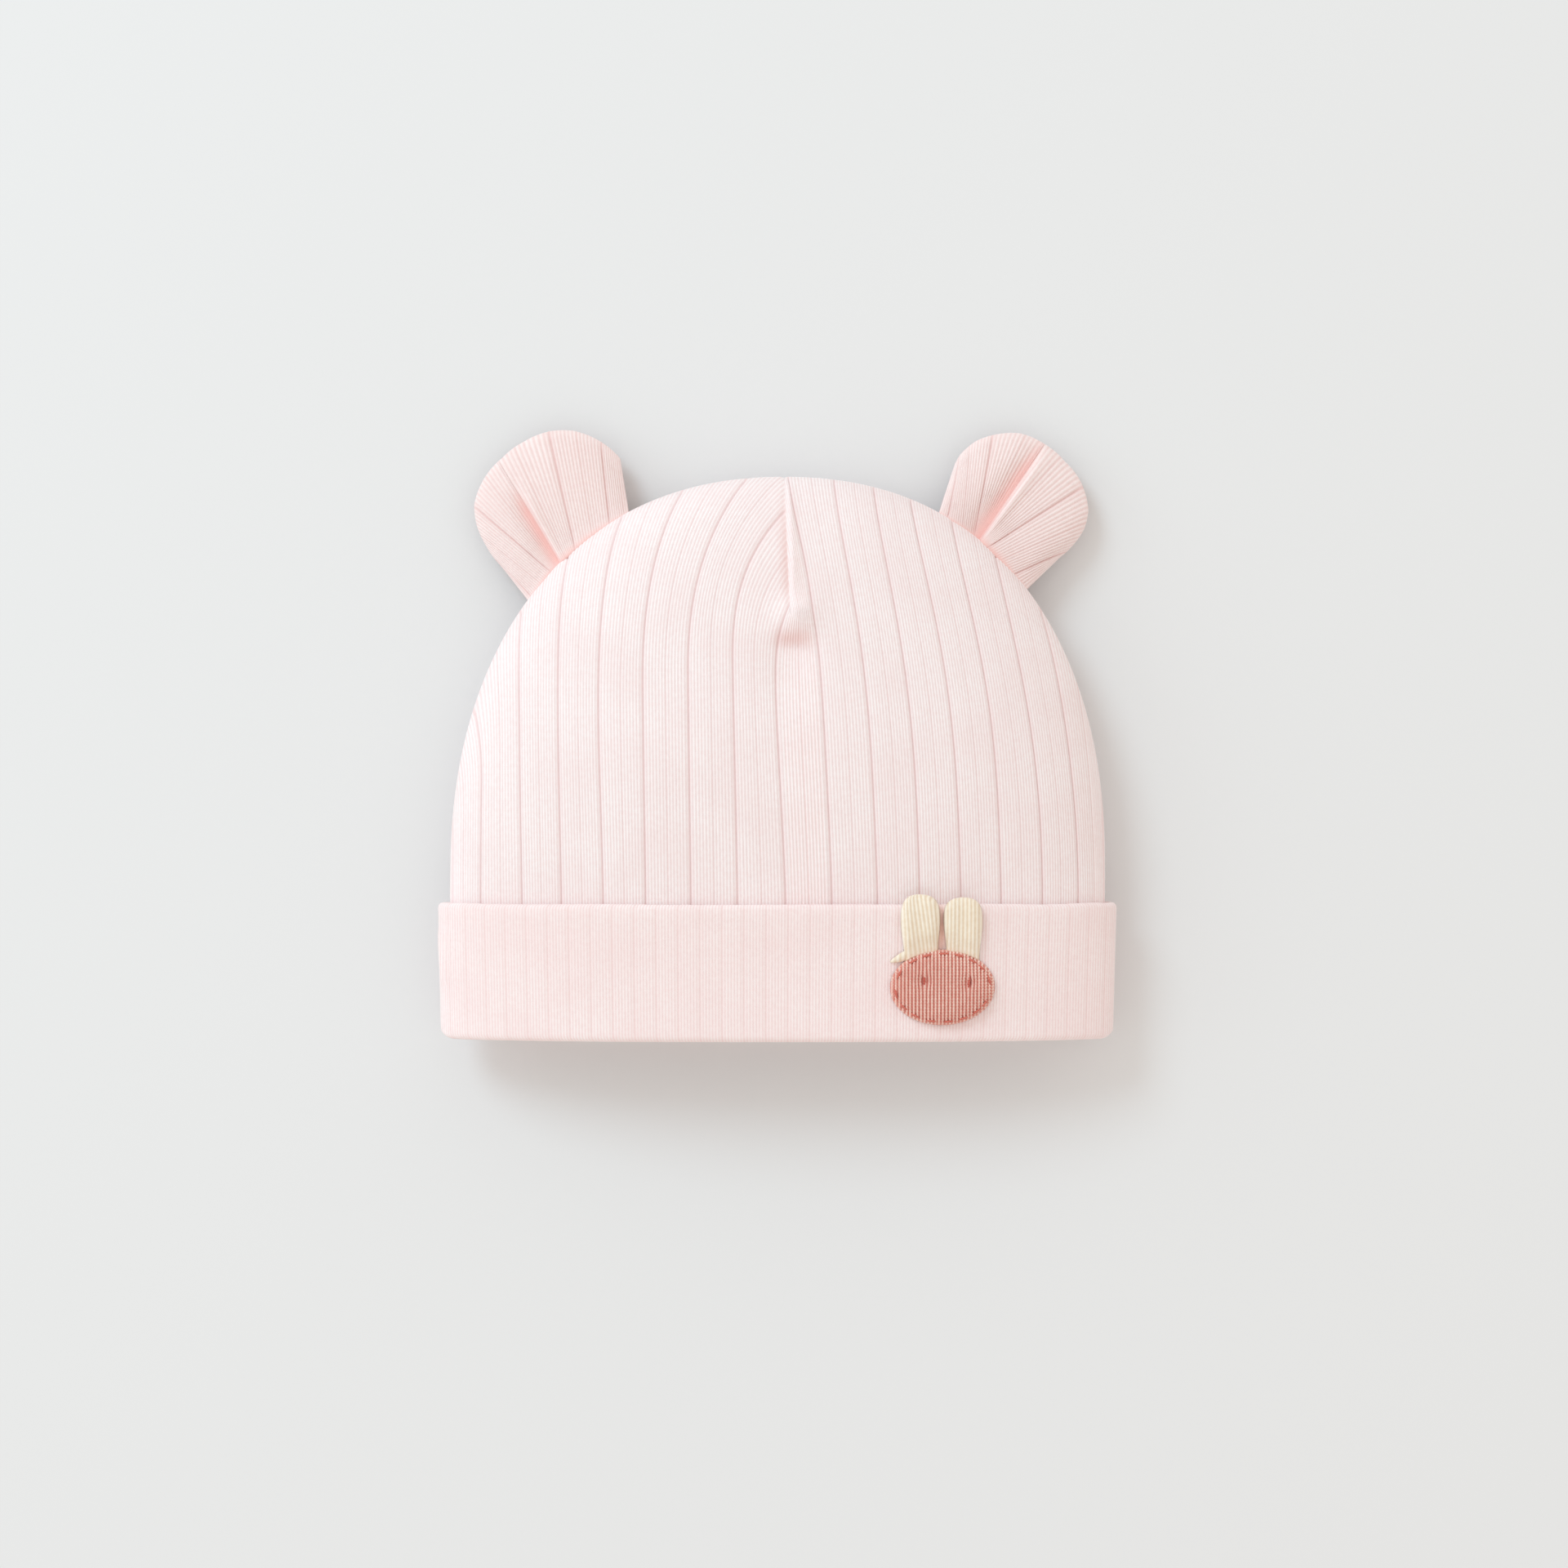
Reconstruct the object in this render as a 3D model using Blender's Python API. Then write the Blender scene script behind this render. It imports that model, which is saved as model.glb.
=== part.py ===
"""A baby's ribbed knit hat with two round ears and a rabbit sewn on its turned-up cuff.

The hat lies on its back, lightly puffed, with its mouth open towards -Y. +X is the wearer's left as
the front is seen, +Y runs from the mouth to the top of the crown, and +Z is up. Lengths are metres.
"""

import math

import bmesh
import bpy
from mathutils import Vector

# Clearance between two pieces that touch on the real hat
GAP = 0.0003

# Crown: a flat-lying pouch, straight up to its shoulders and rounded above them
CROWN_HALF_WIDTH = 0.0844
CROWN_HEIGHT = 0.1447
SHOULDER_HEIGHT = 0.042
CROWN_ROUNDNESS = 2.25
CROWN_WALL = 0.0014
APEX_SHIFT = 0.0018
MOUTH_DRAW = 0.0009

# How far the hat stands up from what it lies on
SIDE_HEIGHT = 0.0135
SEAM_DROP = 0.0025
MOUTH_THICKNESS = 0.027
PUFF_THICKNESS = 0.0335
PRESSED_DEPTH = 0.0012

# Ribs of the knit, and the grooves between them
RIB_PITCH = 0.0110
RIB_SPREAD = 0.0019
RIB_SHIFT = 0.0025
GROOVE_HALF_WIDTH = 0.0015
GROOVE_DEPTH = 0.32 * CROWN_WALL

# Dart that closes the top of the crown, front and back
DART_LENGTH = 0.036
DART_TIP_SHIFT = 0.0033
DART_MIDDLE = 0.0066
DART_INTAKE_LEFT = 0.0173
DART_INTAKE_RIGHT = 0.0107
DART_DEPTH = 0.3 * CROWN_WALL
DART_RIDGE = 0.0011
DART_RIDGE_WIDTH = 0.0022

# Cuff: doubled cloth turned up outside the crown, with a lip inside its mouth
CUFF_HEIGHT = 0.035
CUFF_WALL = 2 * CROWN_WALL
CUFF_LIP = 0.008
LIP_WALL = CROWN_WALL
CUFF_CLEAR = 0.0015
BACK_EASE = 0.010

# Round ears
EAR_THICKNESS = 0.0068
EAR_BASE_THICKNESS = 0.0046
EAR_RIM_HEIGHT = 0.0052
EAR_SWEEP = math.radians(91)
EAR_DROOP = 0.8
PLEAT_DEPTH = 0.0030
PLEAT_HALF_WIDTH = 0.0024

# Rabbit on the cuff
FACE_HALF_WIDTH = 0.0136
FACE_HALF_HEIGHT = 0.0098
FACE_THICKNESS = 0.0030
FACE_PLACE_X = 0.506 * CROWN_HALF_WIDTH
FACE_PLACE_Y = 0.377 * CUFF_HEIGHT
RABBIT_EAR_WIDTH = 0.0103
RABBIT_EAR_THICKNESS = 0.0030
RABBIT_EAR_OVERHANG = 0.0021

# Shape of the puffed section: how square its front is, and how steeply it falls at the sides
FRONT_SQUARENESS = 2.6
FRONT_FALL = 0.55
BACK_SQUARENESS = 5.0
BACK_FALL = 0.6
TOP_CLOSING = 0.8
BACK_CLOSING = 0.5

# Rows and columns of the meshes
SIDE_COLUMN_SHARES = (0.965, 0.99)
CUFF_ROW_SHARES = (0.0, 0.34, 0.67, 1.0)
CROWN_ROWS = 13
LINING_ROWS = 9
ROW_CROWDING = 1.5
LEAST_COLUMN = 0.0007
ROUND_STEPS = 4
MERGE = 1e-6

# How the ribs bend on their way up: pull_start and pull_power share out the dart's intake from the
# side fold to the top, bend_start is the share of a rib's length that runs straight, bend_power its bow.
GRAIN = {
    "left": {"pull_start": 0.30, "pull_power": 0.75, "bend_start": 0.62, "bend_power": 1.85},
    "right": {"pull_start": 0.0, "pull_power": 0.25, "bend_start": 0.28, "bend_power": 1.5},
}

# Ears: outer and inner are where the base ends on the crown's edge, as shares of the crown's half width.
# reach, spread and lean place the round part, as shares of the base's length, and the pleat runs from
# pleat_base to pleat_rim, as shares of half the base's length.
EARS = (
    {"name": "ear_left", "side": -1, "outer": 0.757, "inner": 0.452, "reach": 0.39, "spread": 0.565,
     "lean": 0.07, "pleat_base": -0.34, "pleat_rim": 0.03},
    {"name": "ear_right", "side": 1, "outer": 0.758, "inner": 0.492, "reach": 0.46, "spread": 0.62,
     "lean": 0.083, "pleat_base": 0.23, "pleat_rim": 0.50},
)

# The rabbit's ears: middle is the base's place and tip the tip's, as shares of the face's half width
# from its centre, and top_share shortens one a little.
RABBIT_EARS = (
    {"name": "rabbit_ear_left", "middle": -0.37, "tip": -0.43, "top_share": 1.0},
    {"name": "rabbit_ear_right", "middle": 0.40, "tip": 0.38, "top_share": 0.95},
)

COLOURS = {
    "pink_rib_knit": (0.93, 0.79, 0.79, 1.0),
    "pink_knit_reverse": (0.89, 0.74, 0.72, 1.0),
    "rose_rib_knit": (0.68, 0.34, 0.28, 1.0),
    "cream_knit": (0.87, 0.76, 0.60, 1.0),
}
KNIT_ROUGHNESS = 0.9


def between(low, high, share):
    """The value at this share of the way from low to high."""
    return low + (high - low) * share


def limited(value, low=0.0, high=1.0):
    return min(high, max(low, value))


def eased(share):
    """A smooth step from 0 to 1."""
    share = limited(share)
    return share * share * (3 - 2 * share)


# The crown's form


def closing(y, proud=0.0):
    """How much of the full width is left at this height, for the surface this far outside the crown."""
    over = limited((y - SHOULDER_HEIGHT) / (CROWN_HEIGHT + proud - SHOULDER_HEIGHT))
    return (1 - over**CROWN_ROUNDNESS) ** (1 / CROWN_ROUNDNESS)


def half_width(y, proud=0.0):
    draw = MOUTH_DRAW * (1 - limited(y / CUFF_HEIGHT))
    return (CROWN_HALF_WIDTH + proud) * closing(y, proud) - draw


def axis_shift(y):
    """The crown leans this far to the right at this height."""
    return APEX_SHIFT * limited(y / CROWN_HEIGHT) ** 2


def edge_height(y_top_share):
    """Height above the floor of the folded side, from the mouth (0) to the top (1)."""
    return SIDE_HEIGHT - SEAM_DROP * eased(y_top_share)


def outline_y(x, proud=0.0):
    """Height at which the outline has closed in to x, the inverse of half_width above the shoulders."""
    reach = CROWN_HEIGHT + proud - SHOULDER_HEIGHT
    y = CROWN_HEIGHT
    for _ in range(6):
        share = limited(abs(x - axis_shift(y)) / (CROWN_HALF_WIDTH + proud))
        y = SHOULDER_HEIGHT + reach * (1 - share**CROWN_ROUNDNESS) ** (1 / CROWN_ROUNDNESS)
    return y


def bed(y):
    """Level of the crown's back: on the floor, or on the cuff's back where that lies under it."""
    start = CUFF_HEIGHT + CUFF_CLEAR
    return (CUFF_WALL + GAP) * (1 - eased((y - start) / BACK_EASE))


def across_at(x, y, proud=0.0):
    """0 on the middle of the section at this height, -1 and 1 at its side folds."""
    width = half_width(y, proud)
    return limited((x - axis_shift(y)) / width, -1.0, 1.0) if width > MERGE else 0.0


def front_z(across, y, proud=0.0):
    """The upper surface, or one that lies proud of it."""
    side = edge_height(y / CROWN_HEIGHT)
    crest = between(MOUTH_THICKNESS, PUFF_THICKNESS, eased(y / (0.55 * CROWN_HEIGHT)))
    rise = (crest + proud - side) * closing(y, proud) ** TOP_CLOSING
    return side + rise * (1 - abs(across) ** FRONT_SQUARENESS) ** FRONT_FALL


def back_z(across, y, proud=0.0):
    """The lower surface, flattened where the hat rests."""
    side = edge_height(y / CROWN_HEIGHT)
    drop = (side - bed(y) + PRESSED_DEPTH + proud) * closing(y, proud) ** BACK_CLOSING
    free = side - drop * (1 - abs(across) ** BACK_SQUARENESS) ** BACK_FALL
    return max(bed(y) - proud, free)


def pressed(across, y):
    """1 where the back lies flat on something and its ribs are pressed out, 0 a little above that."""
    return 1 - eased((back_z(across, y) - bed(y)) / PRESSED_DEPTH)


# The ribs, which run up the crown and bend towards the dart


def rib_place(index):
    """Place of a groove along the mouth: the ribs are spread a little wider over the middle."""
    ribs_each_side = CROWN_HALF_WIDTH / RIB_PITCH
    return RIB_SHIFT + index * RIB_PITCH + RIB_SPREAD * math.sin(math.pi * index / ribs_each_side)


def grooves():
    most = int(CROWN_HALF_WIDTH / RIB_PITCH) + 2
    places = [rib_place(index) for index in range(-most, most + 1)]
    return [place for place in places if abs(place) < CROWN_HALF_WIDTH - 2 * GROOVE_HALF_WIDTH]


def groove_depth(base):
    nearest = min(abs(base - place) for place in grooves())
    return GROOVE_DEPTH * math.exp(-((nearest / GROOVE_HALF_WIDTH) ** 2) * 2)


def spaced(kept, loose):
    """Every kept place, and the loose ones that stand clear of them and of each other."""
    places = list(kept)
    for place in loose:
        if all(abs(place - other) > LEAST_COLUMN for other in places):
            places.append(place)
    return places


def half_columns(side, ribbed):
    """Column places along the mouth on one half, from the side fold in to the middle of the dart."""
    edge = side * CROWN_HALF_WIDTH
    apex = apex_column(side)
    valleys = grooves()
    crests = [(a + b) / 2 for a, b in zip(valleys, valleys[1:])]
    loose = [edge * share for share in SIDE_COLUMN_SHARES] + valleys
    if ribbed:
        loose += [place + GROOVE_HALF_WIDTH for place in valleys]
        loose += [place - GROOVE_HALF_WIDTH for place in valleys]
    loose += crests
    inside = [place for place in loose if (place - DART_MIDDLE) * side > 0 and (edge - place) * side > 0]
    return sorted(spaced([edge, apex, DART_MIDDLE], inside), key=lambda place: -side * place)


def apex_column(side):
    """Where the rib that reaches the very top starts at the mouth."""
    return APEX_SHIFT + (DART_INTAKE_RIGHT if side > 0 else -DART_INTAKE_LEFT)


def dart_x(y):
    return between(APEX_SHIFT, DART_TIP_SHIFT, (CROWN_HEIGHT - y) / DART_LENGTH)


def column_end(base, side, dart_share):
    """Where a column of the mesh ends: on the crown's edge, or on the dart at this share of its length."""
    if dart_share is not None:
        y = CROWN_HEIGHT - DART_LENGTH * dart_share
        return dart_x(y), y
    grain = GRAIN["right" if side > 0 else "left"]
    edge, apex = side * CROWN_HALF_WIDTH, apex_column(side)
    inward = (edge - base) / (edge - apex)
    start = grain["pull_start"]
    pull = limited((inward - start) / (1 - start)) ** grain["pull_power"]
    x = base + (APEX_SHIFT - apex) * pull
    return x, outline_y(x)


def bent(base, side, end, y):
    """x of a column at height y, on its way from its base to its end."""
    toward_right = eased((base - apex_column(-1)) / (DART_MIDDLE - apex_column(-1)))
    share = toward_right if side < 0 else 1.0
    left, right = GRAIN["left"], GRAIN["right"]
    start = between(left["bend_start"], right["bend_start"], share) * end[1]
    power = between(left["bend_power"], right["bend_power"], share)
    along = limited((y - start) / (end[1] - start))
    return base + (end[0] - base) * along**power


def dart_relief(x, y):
    """The dart's valley, and the ridge that its turned-in cloth raises on the right."""
    below_tip = eased((y - CROWN_HEIGHT + DART_LENGTH) / (0.3 * DART_LENGTH))
    off = x - dart_x(y)
    valley = DART_DEPTH * math.exp(-((off / GROOVE_HALF_WIDTH) ** 2))
    ridge = DART_RIDGE * math.exp(-(((off - DART_RIDGE_WIDTH) / DART_RIDGE_WIDTH) ** 2) * 2)
    ridge *= eased(off / DART_RIDGE_WIDTH)
    return below_tip * closing(y) ** 0.5 * (ridge - valley)


# Meshes


def placed_grid(bm, columns, rows, place):
    """A grid of quads, each corner moved to place(column, row). Returns its corners by column and row."""
    made = bmesh.ops.create_grid(bm, x_segments=columns - 1, y_segments=rows - 1, size=1.0)
    corners = {}
    for vert in made["verts"]:
        column = round((vert.co.x + 1) / 2 * (columns - 1))
        row = round((vert.co.y + 1) / 2 * (rows - 1))
        vert.co = place(column, row)
        corners[column, row] = vert
    return corners


def half_sheet(bm, side, front, columns, dart_columns, rows, inset, ribbed):
    """A quarter of the pouch: one half of the front or the back, from the mouth to the seam."""
    mouth, cuff_top = LIP_WALL + GAP, CUFF_HEIGHT + CUFF_CLEAR
    straight, last = len(CUFF_ROW_SHARES), rows - 1
    first_dart = len(columns) - dart_columns
    shrink = (CROWN_HEIGHT - inset - cuff_top) / (CROWN_HEIGHT - cuff_top)
    surface_z = front_z if front else back_z

    def place(column, row):
        base = columns[column]
        on_dart = column - first_dart
        end = column_end(base, side, on_dart / (dart_columns - 1) if on_dart >= 0 else None)
        on_edge = column == 0 or (row == last and on_dart <= 0)
        if row < straight:
            y = between(mouth, cuff_top, CUFF_ROW_SHARES[row])
        else:
            up = 1 - (1 - (row - straight + 1) / (last - straight + 1)) ** ROW_CROWDING
            y = between(cuff_top, end[1], up)
        if on_edge:
            across = side
        else:
            across = (bent(base, side, end, y) - axis_shift(y)) / (CROWN_HALF_WIDTH * closing(y))
        relief = 0.0
        if ribbed and not on_edge:
            if row < last:
                relief = -groove_depth(base) * (1 - abs(across) ** 8)
            if row >= straight:
                relief += dart_relief(across * half_width(y) + axis_shift(y), y)
            relief *= 1.0 if front else pressed(across, y) - 1
        y = min(y, cuff_top) + max(y - cuff_top, 0.0) * shrink
        x = axis_shift(y) + across * half_width(y, -inset)
        return Vector((x, y, surface_z(across, y, -inset) + relief))

    placed_grid(bm, len(columns), rows, place)


def pouch(bm, rows, inset, ribbed):
    """The whole pouch, front and back, open at the mouth."""
    left, right = half_columns(-1, ribbed), half_columns(1, ribbed)
    dart_columns = len(left) - left.index(apex_column(-1))
    kept = right[: right.index(apex_column(1))]
    steps = dart_columns - 1
    right = kept + [between(apex_column(1), DART_MIDDLE, step / steps) for step in range(steps + 1)]
    for front in (True, False):
        half_sheet(bm, -1, front, left, dart_columns, rows, inset, ribbed)
        half_sheet(bm, 1, front, right, dart_columns, rows, inset, ribbed)


def crown_mesh():
    """An outer and an inner pouch, joined round the mouth."""
    bm = bmesh.new()
    pouch(bm, CROWN_ROWS, 0.0, ribbed=True)
    pouch(bm, LINING_ROWS, CROWN_WALL, ribbed=False)
    bmesh.ops.remove_doubles(bm, verts=bm.verts, dist=MERGE)
    rim = [edge for edge in bm.edges if edge.is_boundary]
    bmesh.ops.bridge_loops(bm, edges=rim)
    return bm


def rounded_end(near, far, end, depth):
    """Points of a half-round edge from one side of a wall (near) over its end to the other (far)."""
    points = []
    for step in range(ROUND_STEPS + 1):
        angle = math.pi * step / ROUND_STEPS
        across = between(near, far, (1 - math.cos(angle)) / 2)
        points.append((across, end - depth * (1 - math.sin(angle))))
    return points


def cuff_profile():
    """The cuff's section as (proud, height) pairs: up outside, over the top, down, and round the lip."""
    outside, inside = GAP + CUFF_WALL, GAP
    lip_outside = -(CROWN_WALL + GAP)
    lip_inside = lip_outside - LIP_WALL
    fold = LIP_WALL
    leg = [between(fold, CUFF_HEIGHT - CUFF_WALL / 2, share) for share in CUFF_ROW_SHARES]
    section = [(outside, y) for y in leg[:-1]]
    section += rounded_end(outside, inside, CUFF_HEIGHT, CUFF_WALL / 2)
    section += [(inside, y) for y in reversed(leg[:-1])]
    section += [(lip_outside, fold)]
    section += rounded_end(lip_outside, lip_inside, fold + CUFF_LIP, LIP_WALL / 2)
    section += [(lip_inside, fold)]
    section += [(lip_inside + fold / 2, fold / 4), (lip_outside + fold / 2, 0.0)]
    section += [(outside - fold, 0.0), (outside - fold / 3, fold / 4)]
    return section


def cuff_mesh():
    """The section carried once round the crown, along the front from left to right and back below."""
    section = cuff_profile()
    left, right = half_columns(-1, False), half_columns(1, False)
    across = [place / CROWN_HALF_WIDTH for place in left + right[-2::-1]]
    around = [(share, True) for share in across] + [(share, False) for share in across[-2::-1]]

    def place(column, row):
        share, front = around[column]
        proud, y = section[row % len(section)]
        x = share * half_width(y, proud) + axis_shift(y)
        return Vector((x, y, (front_z if front else back_z)(share, y, proud)))

    bm = bmesh.new()
    placed_grid(bm, len(around), len(section) + 1, place)
    bmesh.ops.remove_doubles(bm, verts=bm.verts, dist=MERGE)
    return bm


def padded_mesh(columns, rows, place):
    """Two sheets that share their rim, closed along their base; place(across, along, face) sets a point."""
    bm = bmesh.new()
    for face in (1, -1):
        corners = placed_grid(
            bm, columns, rows,
            lambda column, row, face=face: place(
                between(-1, 1, column / (columns - 1)), row / (rows - 1), face
            ),
        )
        for column, inner in ((0, 1), (columns - 1, columns - 2)):
            bmesh.ops.connect_verts(bm, verts=[corners[column, rows - 1], corners[inner, rows - 2]])
    placed_grid(
        bm, columns, 2,
        lambda column, row: place(between(-1, 1, column / (columns - 1)), 0.0, 1 if row else -1),
    )
    bmesh.ops.remove_doubles(bm, verts=bm.verts, dist=MERGE)
    bmesh.ops.dissolve_degenerate(bm, edges=bm.edges, dist=MERGE)
    return bm


def ear_mesh(ear):
    """A round padded ear, its base along the crown's edge and a pleat running up its front."""
    side = ear["side"]
    ends = []
    for share in (ear["outer"], ear["inner"]):
        x = side * share * CROWN_HALF_WIDTH
        ends.append(Vector((x, outline_y(x, GAP), 0)))
    outer, inner = ends
    base_length = (inner - outer).length
    along = (inner - outer).normalized()
    out = Vector((along.y, -along.x, 0)) * side
    middle = (outer + inner) / 2
    centre = middle + along * ear["lean"] * base_length + out * ear["reach"] * base_length
    radius = ear["spread"] * base_length

    def base_point(across):
        share = (across + 1) / 2
        x = between(outer.x, inner.x, share)
        return Vector((x, outline_y(x, GAP), 0))

    def place(across, up, face):
        angle = EAR_SWEEP * across
        rim = centre + (along * math.sin(angle) + out * math.cos(angle)) * radius
        up = 1 - (1 - up) ** ROW_CROWDING
        base = base_point(across)
        point = base.lerp(rim, up)
        mid = between(edge_height(base.y / CROWN_HEIGHT), EAR_RIM_HEIGHT, up**EAR_DROOP)
        full = between(EAR_BASE_THICKNESS, EAR_THICKNESS, eased(up * 2))
        swell = ((1 - abs(across) ** 4) * (1 - up**4)) ** 0.5
        z = mid + face * full / 2 * swell
        if face > 0:
            offset = (point - middle).dot(along)
            line = between(ear["pleat_base"], ear["pleat_rim"], up) * base_length / 2
            fall = math.exp(-(((offset - line) / PLEAT_HALF_WIDTH) ** 2))
            z -= PLEAT_DEPTH * fall * swell * (1 - 0.5 * up)
        return Vector((point.x, point.y, z))

    return padded_mesh(17, 9, place), middle


def cuff_z(x, y):
    """Height of the cuff's front at a point, level past its top edge."""
    level, proud = min(y, CUFF_HEIGHT - CUFF_WALL / 2), GAP + CUFF_WALL
    return front_z(across_at(x, level, proud), level, proud)


def face_mesh():
    """A padded oval whose underside follows the cuff."""
    bm = bmesh.new()
    bmesh.ops.create_uvsphere(bm, u_segments=28, v_segments=8, radius=1.0)
    for vert in bm.verts:
        x = FACE_PLACE_X + vert.co.x * FACE_HALF_WIDTH
        y = FACE_PLACE_Y + vert.co.y * FACE_HALF_HEIGHT
        reach = min(1.0, math.hypot(vert.co.x, vert.co.y))
        swell = (1 - reach**4) ** 0.5 if vert.co.z > MERGE else 0.0
        vert.co = Vector((x, y, cuff_z(x, y) + GAP + FACE_THICKNESS * swell))
    return bm


def rabbit_ear_mesh(ear):
    """A long flat ear that stands on the face's upper edge and lies on the cuff."""
    top = CUFF_HEIGHT + RABBIT_EAR_OVERHANG
    first = FACE_PLACE_X + ear["middle"] * FACE_HALF_WIDTH
    last = FACE_PLACE_X + ear["tip"] * FACE_HALF_WIDTH

    def place(across, up, face):
        along = math.sin(up * math.pi / 2)
        full = between(0.80, 1.0, eased(along * 1.6)) * RABBIT_EAR_WIDTH / 2
        full *= (1 - along**6) ** 0.5 if along < 1 else 0.0
        x = between(first, last, along) + across * full
        off = limited(abs(x - FACE_PLACE_X) / (FACE_HALF_WIDTH + GAP))
        start = FACE_PLACE_Y + (FACE_HALF_HEIGHT + GAP) * (1 - off * off) ** 0.5
        finish = between(start, top, ear["top_share"])
        y = between(start, finish, along)
        swell = ((1 - across**4) * (1 - along**6)) ** 0.5 if face > 0 else 0.0
        return Vector((x, y, cuff_z(x, y) + GAP + RABBIT_EAR_THICKNESS * swell))

    return padded_mesh(7, 9, place)


# Objects


def knit(name):
    material = bpy.data.materials.new(name)
    material.use_nodes = True
    shader = material.node_tree.nodes["Principled BSDF"]
    shader.inputs["Base Color"].default_value = COLOURS[name]
    shader.inputs["Roughness"].default_value = KNIT_ROUGHNESS
    shader.inputs["Metallic"].default_value = 0.0
    return material


def piece(name, bm, material, parent, origin=Vector((0, 0, 0))):
    """An object from a bmesh, with its own origin, under the hat's empty."""
    bmesh.ops.recalc_face_normals(bm, faces=bm.faces)
    bmesh.ops.translate(bm, verts=bm.verts, vec=-origin)
    mesh = bpy.data.meshes.new(name)
    bm.to_mesh(mesh)
    bm.free()
    mesh.shade_smooth()
    mesh.set_sharp_from_angle(angle=math.radians(50))
    mesh.materials.append(material)
    made = bpy.data.objects.new(name, mesh)
    bpy.context.scene.collection.objects.link(made)
    made.parent = parent
    made.location = origin
    return made


def centre_on_origin(parent, pieces):
    """Moves the hat so that the box round it stands centred on the origin."""
    corners = [made.location + vert.co for made in pieces for vert in made.data.vertices]
    low = [min(corner[axis] for corner in corners) for axis in range(3)]
    high = [max(corner[axis] for corner in corners) for axis in range(3)]
    parent.location = (-(low[0] + high[0]) / 2, -(low[1] + high[1]) / 2, -low[2])


def main():
    for old in list(bpy.data.objects):
        bpy.data.objects.remove(old)
    hat = bpy.data.objects.new("hat", None)
    bpy.context.scene.collection.objects.link(hat)
    rib, reverse = knit("pink_rib_knit"), knit("pink_knit_reverse")
    rose, cream = knit("rose_rib_knit"), knit("cream_knit")
    pieces = [
        piece("crown", crown_mesh(), rib, hat),
        piece("cuff", cuff_mesh(), reverse, hat),
    ]
    for ear in EARS:
        bm, origin = ear_mesh(ear)
        pieces.append(piece(ear["name"], bm, rib.copy(), hat, origin))
    middle = Vector((FACE_PLACE_X, FACE_PLACE_Y, cuff_z(FACE_PLACE_X, FACE_PLACE_Y)))
    pieces.append(piece("rabbit_face", face_mesh(), rose, hat, middle))
    for ear in RABBIT_EARS:
        pieces.append(piece(ear["name"], rabbit_ear_mesh(ear), cream.copy(), hat, middle))
    centre_on_origin(hat, pieces)


main()
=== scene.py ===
"""A baby's ribbed knit hat with round ears and a sewn-on rabbit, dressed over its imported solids.

The hat lies on its back with its mouth towards -Y and its top towards +Y. Lengths are metres. Each piece
is knitted: its mesh carries a map whose U counts wales (the columns of stitches) and whose V counts
courses (the rows), so that relief, colour and stitches all follow the cloth.
"""

import logging
import math
from collections.abc import Callable, Sequence
from dataclasses import dataclass
from enum import Enum
from functools import partial

import bmesh
import bpy
import numpy as np
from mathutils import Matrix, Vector, noise


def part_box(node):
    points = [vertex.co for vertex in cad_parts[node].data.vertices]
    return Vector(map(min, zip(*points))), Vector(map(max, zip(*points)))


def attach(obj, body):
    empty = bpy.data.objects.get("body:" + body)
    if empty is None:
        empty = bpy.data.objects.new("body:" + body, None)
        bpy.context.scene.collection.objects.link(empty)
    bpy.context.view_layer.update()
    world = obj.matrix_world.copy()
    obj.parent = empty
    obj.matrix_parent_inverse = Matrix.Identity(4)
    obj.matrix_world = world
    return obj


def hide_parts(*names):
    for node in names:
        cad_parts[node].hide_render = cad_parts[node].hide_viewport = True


log = logging.getLogger("baby_hat")
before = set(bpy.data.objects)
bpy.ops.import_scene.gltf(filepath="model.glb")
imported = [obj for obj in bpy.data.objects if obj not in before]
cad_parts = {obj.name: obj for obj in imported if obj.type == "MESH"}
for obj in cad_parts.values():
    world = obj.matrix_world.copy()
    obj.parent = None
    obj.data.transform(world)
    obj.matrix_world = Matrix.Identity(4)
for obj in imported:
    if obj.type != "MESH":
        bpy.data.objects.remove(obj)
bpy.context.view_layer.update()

MERGE = 1e-6
NO_RIBS = 1000.0
KNIT_MAP = "knit"
# Name of the layer that says how much painted shade deepens a corner's colour
PAINTED_SHADE_NAME = "painted_shade"
Colour = tuple[float, float, float, float]
Pair = tuple[float, float]


def between(low: float, high: float, share: float) -> float:
    """Gives the value at this share of the way from low to high."""
    return low + (high - low) * share


def limited(value: float, low: float = 0.0, high: float = 1.0) -> float:
    """Gives the value, held between low and high."""
    return min(high, max(low, value))


def eased(share: float) -> float:
    """Gives a smooth step from 0 to 1."""
    share = limited(share)
    return share * share * (3 - 2 * share)


def hump(distance: float, reach: float) -> float:
    """Gives a bell: 1 at no distance, and next to nothing at twice the reach."""
    return math.exp(-((distance / reach) ** 2))


def srgb(red: int, green: int, blue: int) -> Colour:
    """Turns a colour as a screen shows it, 0 to 255, into the renderer's linear values.

    Args:
        red: Red as shown.
        green: Green as shown.
        blue: Blue as shown.

    Returns:
        The linear colour with full alpha.
    """
    shown = [value / 255 for value in (red, green, blue)]
    linear = [value / 12.92 if value <= 0.04045 else ((value + 0.055) / 1.055) ** 2.4 for value in shown]
    return (*linear, 1.0)


class Side(Enum):
    """Left or right of the hat as its front is seen."""

    LEFT = -1
    RIGHT = 1


class Face(Enum):
    """Which way a sheet of the lying hat looks."""

    FRONT = 1
    BACK = -1


# Knitted meshes


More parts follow.
